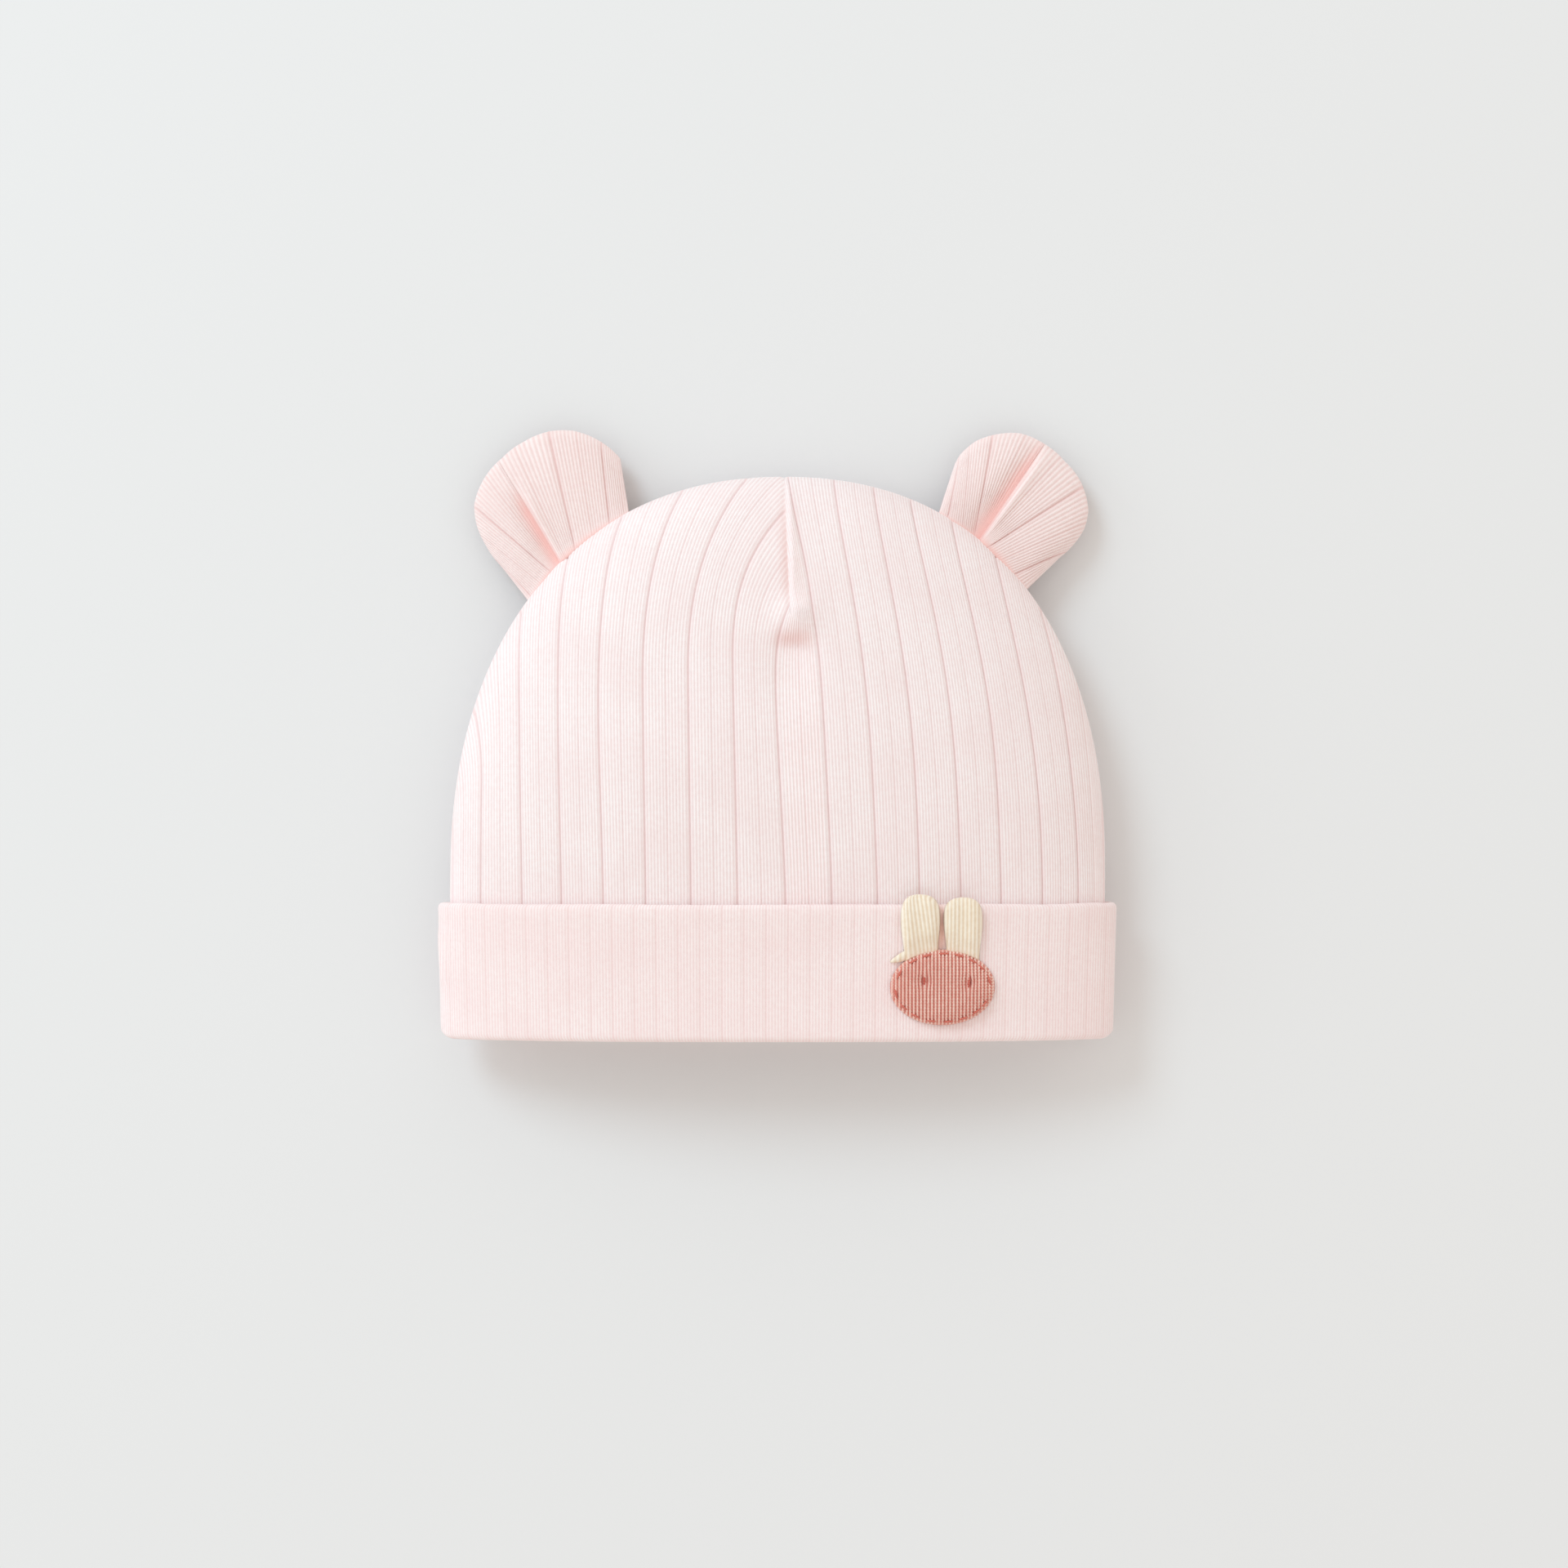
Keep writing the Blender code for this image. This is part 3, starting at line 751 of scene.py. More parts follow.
@dataclass
class Crown:
    """The ribbed pouch, with the dart that closes its top on the front and on the back.

    Each column of its mesh is a third of a wale and runs from the mouth to the top edge or to the dart's
    seam. Round the dart's tip the cloth stands up in a puff, with a dimple under it that lies in shade, and
    shade is painted deeper in that dimple and along the dart's left side.
    """

    form: HatForm
    wales: WaleCount
    relief: RibRelief = RibRelief()
    # Mesh
    steps_per_wale: int = 3
    rows: int = 58
    lining_rows: int = 10
    edge_fade: float = 0.0010
    row_crowding: float = 1.7
    cuff_row_shares: tuple[float, ...] = (0.0, 0.34, 0.67, 1.0)
    edge_columns: tuple[float, ...] = (0.00003, 0.00012)
    course: float = 0.00062
    # Course of the wales
    drift_rise: float = 1.2
    drift_end: int = 6
    # The dart's seam
    dart_length: float = 0.036
    dart_tip: float = 0.0033
    # Relief, which fades where the cloth is squeezed or drawn into the seam
    full_pitch: float = 0.00060
    squeezed_wales: float = 10.0
    seam_depth: float = 0.00024
    seam_reach: float = 0.00055
    seam_margin: float = 0.0006
    seam_run_in: float = 0.004
    # What the dart raises and pulls in on the front
    ridge: float = 0.0008
    ridge_place: float = 0.0013
    ridge_reach: float = 0.0014
    ridge_run_in: float = 0.35
    puff: float = 0.0021
    puff_place: Pair = (0.0054, 0.1087)
    puff_reach: float = 0.0046
    dimple: float = 0.0015
    dimple_place: Pair = (0.0038, 0.0996)
    dimple_across: float = 0.0062
    dimple_above: float = 0.0034
    dimple_below: float = 0.0130
    lining_reach: float = 0.015
    # Painted shade along the dart's left side and in the dimple under its tip
    shade: float = 0.55
    shade_place: Pair = (0.0040, 0.1022)
    shade_reach: Pair = (0.0050, 0.0022)
    seam_shade: float = 0.55
    seam_shade_reach: float = 0.0030
    seam_shade_run_in: float = 0.008
    seam_shade_run_out: float = 0.020
    # Slow unevenness of the lying cloth, none at the side folds and the top
    unevenness: float = 0.00035
    unevenness_size: float = 0.022
    level_side: int = 8
    level_top: float = 0.01

    def __post_init__(self) -> None:
        """Works out the two columns that guide those on the dart's right."""
        width = self.form.half_width_at_mouth
        self.tip_guide = self.wale(DART_MIDDLE * width, 1.0)
        self.apex_guide = self.wale(RIGHT_APEX * width, 0.0)

    def dart_x(self, y: float) -> float:
        """Gives the dart seam's place at this height."""
        return between(self.form.apex_shift, self.dart_tip, (self.form.height - y) / self.dart_length)

    def wale(self, base: float, dart: float | None) -> Wale:
        """Works out one column.

        Args:
            base: Its place along the mouth.
            dart: How far down the dart it ends, or None where it ends on the top edge.

        Returns:
            The column.
        """
        width = self.form.half_width_at_mouth
        end, drift, turn, bend = (
            table_value(GRAIN, "base", base / width, name) for name in ("end", "drift", "turn", "bend")
        )
        if dart is None:
            end_x = end * width
            end_y = self.form.outline_y(end_x)
        else:
            end_y = self.form.height - self.dart_length * dart
            end_x = self.dart_x(end_y)
        return Wale(base, self.wales.at(base), end_x, end_y, drift * width, turn, bend, dart)

    def half(self, side: Side) -> list[Wale]:
        """Lists the columns of one half, from the side fold in to the middle of the dart.

        Args:
            side: Which half.

        Returns:
            The columns.
        """
        width = self.form.half_width_at_mouth
        edge, middle = side.value * width, DART_MIDDLE * width
        apex = (LEFT_APEX if side is Side.LEFT else RIGHT_APEX) * width
        trim = side.value * 2 * self.edge_columns[-1]
        outer = self.wales.steps(*sorted((edge - trim, apex)), self.steps_per_wale)
        outer += [edge - side.value * off for off in self.edge_columns]
        outer.sort(key=lambda place: -side.value * place)
        left_apex = LEFT_APEX * width
        on_dart = [left_apex, *self.wales.steps(left_apex, middle, self.steps_per_wale), middle]
        shares = [table_value(GRAIN, "base", place / width, "dart") for place in on_dart]
        if side is Side.RIGHT:
            on_dart = [between(apex, middle, share) for share in shares]
        columns = [self.wale(place, None) for place in [edge, *outer]]
        return columns + [self.wale(place, share) for place, share in zip(on_dart, shares)]

    def x_of(self, wale: Wale, y: float) -> float:
        """Gives a column's place across the crown.

        Args:
            wale: The column.
            y: Height up from the mouth.

        Returns:
            The place at that height.
        """
        if wale.on_dart and self.tip_guide.base < wale.base < self.apex_guide.base:
            return self.x_beside_dart(wale, y)
        return self.x_alone(wale, y)

    def x_beside_dart(self, wale: Wale, y: float) -> float:
        """Spaces a column on the dart's right evenly between the seam and the column that ends at the apex.

        Args:
            wale: The column.
            y: Height up from the mouth.

        Returns:
            The place at that height.
        """
        tip_y = self.tip_guide.end_y
        seam = self.x_alone(self.tip_guide, y) if y < tip_y else self.dart_x(y)
        done = limited((y - tip_y) / (self.form.height - tip_y))
        share = limited((1 - wale.dart - done) / max(1 - done, MERGE))
        return between(seam, self.x_alone(self.apex_guide, y), share)

    def x_alone(self, wale: Wale, y: float) -> float:
        """Gives a column's place by its own drift and bend.

        Args:
            wale: The column.
            y: Height up from the mouth.

        Returns:
            The place at that height.
        """
        start = self.form.cuff_height + self.form.cuff_clear
        along = limited((y - start) / (wale.end_y - start))
        turned = limited((along - wale.turn) / (1 - wale.turn)) ** wale.bend
        strayed = wale.drift * along**self.drift_rise * (1 - along**self.drift_end)
        return wale.base - strayed + (wale.end_x - wale.base) * turned

    def swell(self, x: float, y: float) -> float:
        """Gives the dart's ridge and what it pushes up and pulls in round its tip.

        Args:
            x: Place across the crown.
            y: Height up from the mouth.

        Returns:
            How far the outer cloth is raised there.
        """
        near_tip = (y - self.form.height + self.dart_length) / (self.ridge_run_in * self.dart_length)
        off = x - self.dart_x(y)
        ridge = self.ridge * hump(off - self.ridge_place, self.ridge_reach) * eased(off / self.ridge_reach)
        ridge *= eased(near_tip) * self.form.closing(y) ** 0.5
        puff = self.puff * hump(math.dist((x, y), self.puff_place), self.puff_reach)
        up = y - self.dimple_place[1]
        across = hump(x - self.dimple_place[0], self.dimple_across)
        reach = self.dimple_above if up > 0 else self.dimple_below
        return ridge + puff - self.dimple * across * hump(up, reach)

    def lining_dip(self, x: float, y: float) -> float:
        """Gives how far the inner cloth gives way under the dart's tip."""
        return -self.dimple * hump(math.dist((x, y), self.dimple_place), self.lining_reach)

    def calm(self, x: float, y: float, run_in: float) -> float:
        """Gives how much relief is left beside the dart's seam and beside the cloth squeezed on its right.

        Args:
            x: Place across the crown.
            y: Height up from the mouth.
            run_in: 0 below the dart's tip and 1 past it.

        Returns:
            The share that is left, from 0 to 1.
        """
        seam, apex = self.dart_x(y), self.x_alone(self.apex_guide, y)
        squeezed = 1 - limited((apex - seam) / (self.squeezed_wales * self.full_pitch))
        beside_seam = limited(abs(x - seam) / self.seam_margin)
        beside_apex = limited((x - apex) / self.seam_margin) if x > apex else 1.0
        return between(1.0, beside_seam, run_in) * between(1.0, beside_apex, squeezed * run_in)

    def spacing(self, columns: list[Wale], column: int, y: float) -> float:
        """Tells how far a column stands from the one outside it, because squeezed wales lie flat.

        Args:
            columns: The half's columns.
            column: Number of the column.
            y: Height up from the mouth.

        Returns:
            1 where the wales have their full pitch, and less where they are squeezed.
        """
        if column == 0:
            return 1.0
        wale, outer = columns[column], columns[column - 1]
        count = max(abs(wale.count - outer.count), MERGE)
        return limited(abs(self.x_of(wale, y) - self.x_of(outer, y)) / count / self.full_pitch) ** 2

    def quarter(self, mesh: KnitMesh, face: Face, columns: list[Wale], rows: int, inset: float) -> None:
        """Lays one half of the front or of the back, from the mouth to the seam.

        Args:
            mesh: The mesh that it goes into.
            face: Front or back.
            columns: The half's columns.
            rows: Rows of corners.
            inset: How far inside the crown's outer surface it lies; the lining is left smooth.
        """
        form = self.form
        mouth, cuff_top = form.wall + form.gap, form.cuff_height + form.cuff_clear
        straight, last = len(self.cuff_row_shares), rows - 1
        shrink = (form.height - inset - cuff_top) / (form.height - cuff_top)
        side = 1.0 if columns[0].base > 0 else -1.0
        first_dart = next(number for number, wale in enumerate(columns) if wale.on_dart)

        def spot(column: int, row: int) -> Spot:
            """Places one corner.

            Args:
                column: Its column, from the side fold.
                row: Its row, from the mouth.

            Returns:
                Its spot.
            """
            wale = columns[column]
            on_edge = column == 0 or (row == last and column <= first_dart)
            if row < straight:
                y = between(mouth, cuff_top, self.cuff_row_shares[row])
            else:
                up = 1 - (1 - (row - straight + 1) / (last - straight + 1)) ** self.row_crowding
                y = between(cuff_top, wale.end_y, up)
            if on_edge:
                across = side
            else:
                width = form.half_width_at_mouth * form.closing(y)
                across = limited((self.x_of(wale, y) - form.lean(y)) / width, -1.0, 1.0)
            swell, relief, painted_shade = 0.0, 0.0, 0.0
            x = across * form.half_width(y) + form.lean(y)
            if face is Face.FRONT and not on_edge:
                swell = self.swell(x, y) if inset == 0.0 else self.lining_dip(x, y)
                swell *= 1 - across**self.level_side
            if inset == 0.0:
                run_in = eased((y - form.height + self.dart_length) / self.seam_run_in)
                seam = hump(x - self.dart_x(y), self.seam_reach) * run_in
                fade = limited((1 - abs(across)) * form.half_width_at_mouth / self.edge_fade)
                if not wale.on_dart:
                    fade *= limited((wale.end_y - y) / self.edge_fade)
                fade *= self.spacing(columns, column, y) * self.calm(x, y, run_in)
                relief = self.relief.depth(wale.count) * fade - self.seam_depth * seam
                if row == last and wale.on_dart:
                    relief = -self.seam_depth * run_in
                # Painted shade along the dart's left side and in the dimple under its tip
                painted_shade = self.painted_shade(x, y)
            level = min(y, cuff_top) + max(y - cuff_top, 0.0) * shrink
            x = form.lean(level) + across * form.half_width(level, -inset)
            z = form.surface_z(face, across, level, -inset) + swell
            if inset == 0.0 and not on_edge and z > form.side_height:
                uneven = noise.noise(Vector((x, y, 0.0)) / self.unevenness_size)
                below_top = limited((wale.end_y - y) / self.level_top)
                z += self.unevenness * uneven * (1 - across**self.level_side) * below_top
            return Spot(form.at(x, level, z), wale.count, y / self.course, relief, painted_shade)

        mesh.lay(len(columns), rows, spot)

    def painted_shade(self, x: float, y: float) -> float:
        """Tells where shade is painted: along the dart's left side, where its cloth tucks under the seam, and
        in the dimple under its tip.

        Args:
            x: Place across the crown.
            y: Height up from the mouth.

        Returns:
            How much shade is painted there, from 0 to 1.
        """
        off = self.dart_x(y) - x
        beside = eased((y - self.form.height + self.dart_length) / self.seam_shade_run_in)
        beside *= eased((self.form.height - y) / self.seam_shade_run_out)
        seam = self.seam_shade * limited(1 - off / self.seam_shade_reach) * beside if off > 0 else 0.0
        along, up = ((at - to) / reach for at, to, reach in zip((x, y), self.shade_place, self.shade_reach))
        return max(seam, self.shade * math.exp(-(along**4) - up * up))

    def build(self, finish: bpy.types.Material) -> bpy.types.Object:
        """Builds the crown: an outer and an inner pouch, joined round the mouth.

        Args:
            finish: The rib knit.

        Returns:
            The crown's object.
        """
        mesh = KnitMesh("crown_knit")
        for side in Side:
            columns = self.half(side)
            for rows, inset in ((self.rows, 0.0), (self.lining_rows, self.form.wall)):
                for face in Face:
                    self.quarter(mesh, face, columns, rows, inset)
        mesh.join()
        rim = [edge for edge in mesh.bm.edges if edge.is_boundary]
        bmesh.ops.bridge_loops(mesh.bm, edges=rim)
        return mesh.finished(finish)


@dataclass
class Cuff:
    """The turned-up brim: one strip of cloth, folded round the crown's mouth edge and over at its top."""

    form: HatForm
    # The strip's section, from the lip to the hem
    cloth: float = 0.0013
    lip: float = 0.008
    lip_rows: int = 4
    bend: float = 0.0011
    bend_steps: int = 4
    outside_rows: int = 15
    fold_steps: int = 6
    hem_end: float = 0.0045
    hem_rows: int = 5
    # Mesh and knit
    turn_samples: int = 3601
    steps_per_wale: int = 3
    wale_pitch: float = 0.00079
    wale_depth: float = 0.00013
    streak_wales: int = 7
    streak_depth: float = 0.00008
    streak_reach: float = 0.6
    course: float = 0.00062
    # Its lower corners and its wavy edge
    corner: float = 0.0020
    corner_run: float = 3.0
    wave: float = 0.00035
    wave_count: float = 3.0
    # The side seam
    seam_across: float = -0.985
    seam_heights: Pair = (0.0148, 0.0270)
    seam_end: float = 0.001
    seam_height: float = 0.0004
    seam_reach: float = 0.003
    knot_level: float = 0.55
    knot_swing: float = 0.45
    knot_pitch: float = 0.0021
    knot_slant: float = 400.0
    # Relief near the folds, and painted shade between the rabbit's ears
    edge_fade: float = 0.0028
    edge_relief: float = 0.2
    gap_shade: float = 0.9
    gap_shade_place: Pair = (0.0416, 0.0285)
    gap_shade_reach: Pair = (0.0013, 0.0058)

    def centreline(self) -> list[Pair]:
        """Gives the strip's section as (proud, height) points along the middle of the cloth.

        Returns:
            From the lip's end inside the mouth, round below, up outside, over the top and down again.
        """
        form, half, bend = self.form, self.cloth / 2, self.bend
        lip = -(form.wall + form.gap) - half
        outside = form.gap + form.cuff_wall - half
        inside = form.gap + half
        fold = (outside - inside) / 2
        low, top = bend + half, form.cuff_height - half - fold
        points = [(lip, y) for y in np.linspace(low + self.lip, low, self.lip_rows)[:-1]]
        points += self.arc((lip + bend, low), bend, math.pi, 1.5 * math.pi, self.bend_steps)
        points += self.arc((outside - bend, low), bend, 1.5 * math.pi, 2 * math.pi, self.bend_steps)
        points += [(outside, y) for y in np.linspace(low, top, self.outside_rows)[1:-1]]
        points += self.arc(((outside + inside) / 2, top), fold, 0.0, math.pi, self.fold_steps)
        points += [(inside, y) for y in np.linspace(top, self.hem_end, self.hem_rows)[1:]]
        return points

    @staticmethod
    def arc(middle: Pair, radius: float, first: float, last: float, steps: int) -> list[Pair]:
        """Gives points along an arc.

        Args:
            middle: The arc's middle.
            radius: Its radius.
            first: Angle at its start, in radians.
            last: Angle at its end.
            steps: Steps along it.

        Returns:
            The points, one more than the steps.
        """
        angles = [between(first, last, step / steps) for step in range(steps + 1)]
        x, y = middle
        return [(x + radius * math.cos(angle), y + radius * math.sin(angle)) for angle in angles]

    def section(self) -> tuple[list[Pair], list[bool]]:
        """Gives the strip's closed outline, and which of its points look outwards from the hat.

        Its hidden side has every second point of the outside run alone, which keeps the mesh light.

        Returns:
            The outline's points, and for each whether it shows.
        """
        line = [np.array(point) for point in self.centreline()]
        first = self.lip_rows - 1 + 2 * (self.bend_steps + 1)
        left_out = range(first + 1, first + self.outside_rows - 2, 2)
        outer, inner = [], []
        for number, point in enumerate(line):
            before, after = line[max(number - 1, 0)], line[min(number + 1, len(line) - 1)]
            run = (after - before) / np.linalg.norm(after - before)
            normal = np.array((run[1], -run[0])) * self.cloth / 2
            outer.append(tuple(point + normal))
            if number not in left_out:
                inner.append(tuple(point - normal))
        tips = []
        for end, before in ((line[-1], line[-2]), (line[0], line[1])):
            run = (end - before) / np.linalg.norm(end - before)
            tips.append(tuple(end + run * self.cloth / 2))
        points = outer + [tips[0]] + inner[::-1] + [tips[1]]
        shown = [True] * len(outer) + [False] * (len(inner) + 2)
        return points, shown

    def around(self) -> list[tuple[float, Face, float]]:
        """Lists the columns round the hat at even steps along the cloth.

        Returns:
            For each its share across, its face and its wale count, from the left fold over the front.
        """
        proud, level = self.form.gap + self.form.cuff_wall, self.form.cuff_height / 2
        turns = np.linspace(0, 2 * math.pi, self.turn_samples)
        shares = -np.cos(turns)
        faces = [Face.FRONT if turn < math.pi else Face.BACK for turn in turns]
        width = self.form.half_width(level, proud)
        heights = [self.form.surface_z(face, share, level, proud) for face, share in zip(faces, shares)]
        lengths = np.concatenate([[0], np.cumsum(np.hypot(np.diff(shares * width), np.diff(heights)))])
        wales = round(lengths[-1] / self.wale_pitch / self.streak_wales) * self.streak_wales
        steps = wales * self.steps_per_wale
        found = np.interp(np.linspace(0, lengths[-1], steps + 1), lengths, turns)
        half = int(np.argmin(abs(found - math.pi)))
        found[half] = math.pi
        columns = []
        for number, turn in enumerate(found):
            face = Face.FRONT if turn <= math.pi else Face.BACK
            columns.append((-math.cos(turn), face, number / self.steps_per_wale))
        return columns

    def raised_corner(self, across: float, y: float) -> float:
        """Lifts the lower edge where the cuff's corners are round.

        Args:
            across: Share across the cuff.
            y: Height up from the mouth.

        Returns:
            The lifted height.
        """
        start = 1 - self.corner / self.form.half_width_at_mouth
        over = limited((abs(across) - start) / (1 - start))
        lift = self.corner * (1 - math.sqrt(1 - over * over))
        return y + lift * (1 - limited(y / (self.corner_run * self.corner))) ** 2

    def seam(self, across: float, face: Face, y: float) -> float:
        """Gives the side seam's small bumps near the left fold.

        Args:
            across: Share across the cuff.
            face: Front or back.
            y: Height up from the mouth.

        Returns:
            How far the seam stands up there.
        """
        low, high = self.seam_heights
        end = self.seam_end
        if face is Face.BACK or not low - end < y < high + end:
            return 0.0
        reach = self.seam_reach / self.form.half_width_at_mouth
        ends = eased((y - low + end) / (2 * end)) * eased((high + end - y) / (2 * end))
        turn = 2 * math.pi * y / self.knot_pitch + across * self.knot_slant
        knots = self.knot_level + self.knot_swing * math.sin(turn)
        return self.seam_height * hump(across - self.seam_across, reach) * ends * knots

    def build(self, finish: bpy.types.Material) -> bpy.types.Object:
        """Builds the cuff.

        Args:
            finish: The reverse of the knit.

        Returns:
            The cuff's object.
        """
        mesh = KnitMesh("cuff_knit")
        form = self.form
        section, shown = self.section()
        columns = self.around()

        def spot(column: int, row: int) -> Spot:
            """Places one corner.

            Args:
                column: Its column round the hat.
                row: Its point of the strip's section; the last is the first again.

            Returns:
                Its spot.
            """
            across, face, wale = columns[column]
            proud, y = section[row % len(section)]
            aside = face.value * math.sqrt(max(0.0, 1 - across * across))
            wander = noise.noise(Vector((across, aside, 0.0)) * self.wave_count)
            y = self.raised_corner(across, y)
            y += self.wave * wander * (y / form.cuff_height)
            x = across * form.half_width(y, proud) + form.lean(y)
            z = form.surface_z(face, across, y, proud)
            relief = 0.0
            if shown[row % len(section)]:
                share = wale / self.streak_wales
                streak = abs(share - round(share)) * self.streak_wales
                relief = -self.wale_depth * (1 + math.cos(2 * math.pi * wale)) / 2
                relief -= self.streak_depth * hump(streak, self.streak_reach)
                from_edge = limited(min(y, form.cuff_height - y) / self.edge_fade)
                relief *= between(self.edge_relief, 1.0, from_edge)
                relief += self.seam(across, face, y)
            # Painted shade, warm, on the cuff's front in the gap between the rabbit's ears
            places = zip((x, y), self.gap_shade_place, self.gap_shade_reach)
            aside, up = ((at - to) / reach for at, to, reach in places)
            painted_shade = self.gap_shade * math.exp(-aside * aside - up * up) if face is Face.FRONT else 0.0
            return Spot(form.at(x, y, z), wale, y / self.course, relief, painted_shade)

        mesh.lay(len(columns), len(section) + 1, spot)
        return mesh.finished(finish)


# Ears


@dataclass(frozen=True)
class EarShape:
    """One ear's outline, pleat and grain.

    outer and inner, its ends on the crown's edge, are shares of the half width. reach and lean place the
    middle of its round part, in shares of the base's length, and rim gives its edge there as (across,
    radius) pairs. Across is -1 at the outer end and 1 at the inner. The pleat runs between a place on the
    base and one on the rim. The grain says where a wale stands on the base and on the rim.
    """

    node: str
    side: Side
    outer: float
    inner: float
    reach: float
    lean: float
    rim: tuple[Pair, ...]
    pleat: Pair
    pleat_depth: float
    pleat_length: float
    pleat_end: float
    shade_reach: float
    grain: tuple[dict[str, float], ...]


LEFT_EAR = EarShape(
    node="ear_left", side=Side.LEFT, outer=0.757, inner=0.452, reach=0.39, lean=0.07,
    rim=(
        (-1.00, 0.551), (-0.78, 0.562), (-0.63, 0.584), (-0.45, 0.606), (-0.26, 0.596), (0.00, 0.583),
        (0.22, 0.602), (0.43, 0.638), (0.60, 0.658), (0.84, 0.664), (1.00, 0.664),
    ),
    pleat=(-0.368, -0.05), pleat_depth=0.0019, pleat_length=0.80, pleat_end=0.0, shade_reach=0.0036,
    grain=(
        {"wale": -30, "base": -1.00, "rim": -1.00},
        {"wale": -14, "base": -0.52, "rim": -0.47},
        {"wale": -3, "base": -0.373, "rim": -0.056},
        {"wale": 3, "base": -0.363, "rim": -0.044},
        {"wale": 14, "base": -0.074, "rim": 0.42},
        {"wale": 28, "base": 0.61, "rim": 0.82},
        {"wale": 37, "base": 1.00, "rim": 1.00},
    ),
)
RIGHT_EAR = EarShape(
    node="ear_right", side=Side.RIGHT, outer=0.758, inner=0.492, reach=0.46, lean=0.083,
    rim=(
        (-1.00, 0.622), (-0.85, 0.652), (-0.70, 0.688), (-0.55, 0.702), (-0.30, 0.676), (-0.10, 0.645),
        (0.13, 0.648), (0.35, 0.666), (0.54, 0.656), (0.72, 0.652), (0.90, 0.629), (1.00, 0.605),
    ),
    pleat=(0.10, 0.136), pleat_depth=0.0024, pleat_length=1.1, pleat_end=0.2, shade_reach=0.0042,
    grain=(
        {"wale": -34, "base": -1.00, "rim": -1.00},
        {"wale": -28, "base": -0.70, "rim": -0.935},
        {"wale": -14, "base": -0.094, "rim": -0.36},
        {"wale": -3, "base": 0.096, "rim": 0.130},
        {"wale": 3, "base": 0.104, "rim": 0.142},
        {"wale": 14, "base": 0.16, "rim": 0.585},
        {"wale": 21, "base": 0.44, "rim": 0.80},
        {"wale": 32, "base": 1.00, "rim": 1.00},
    ),
)


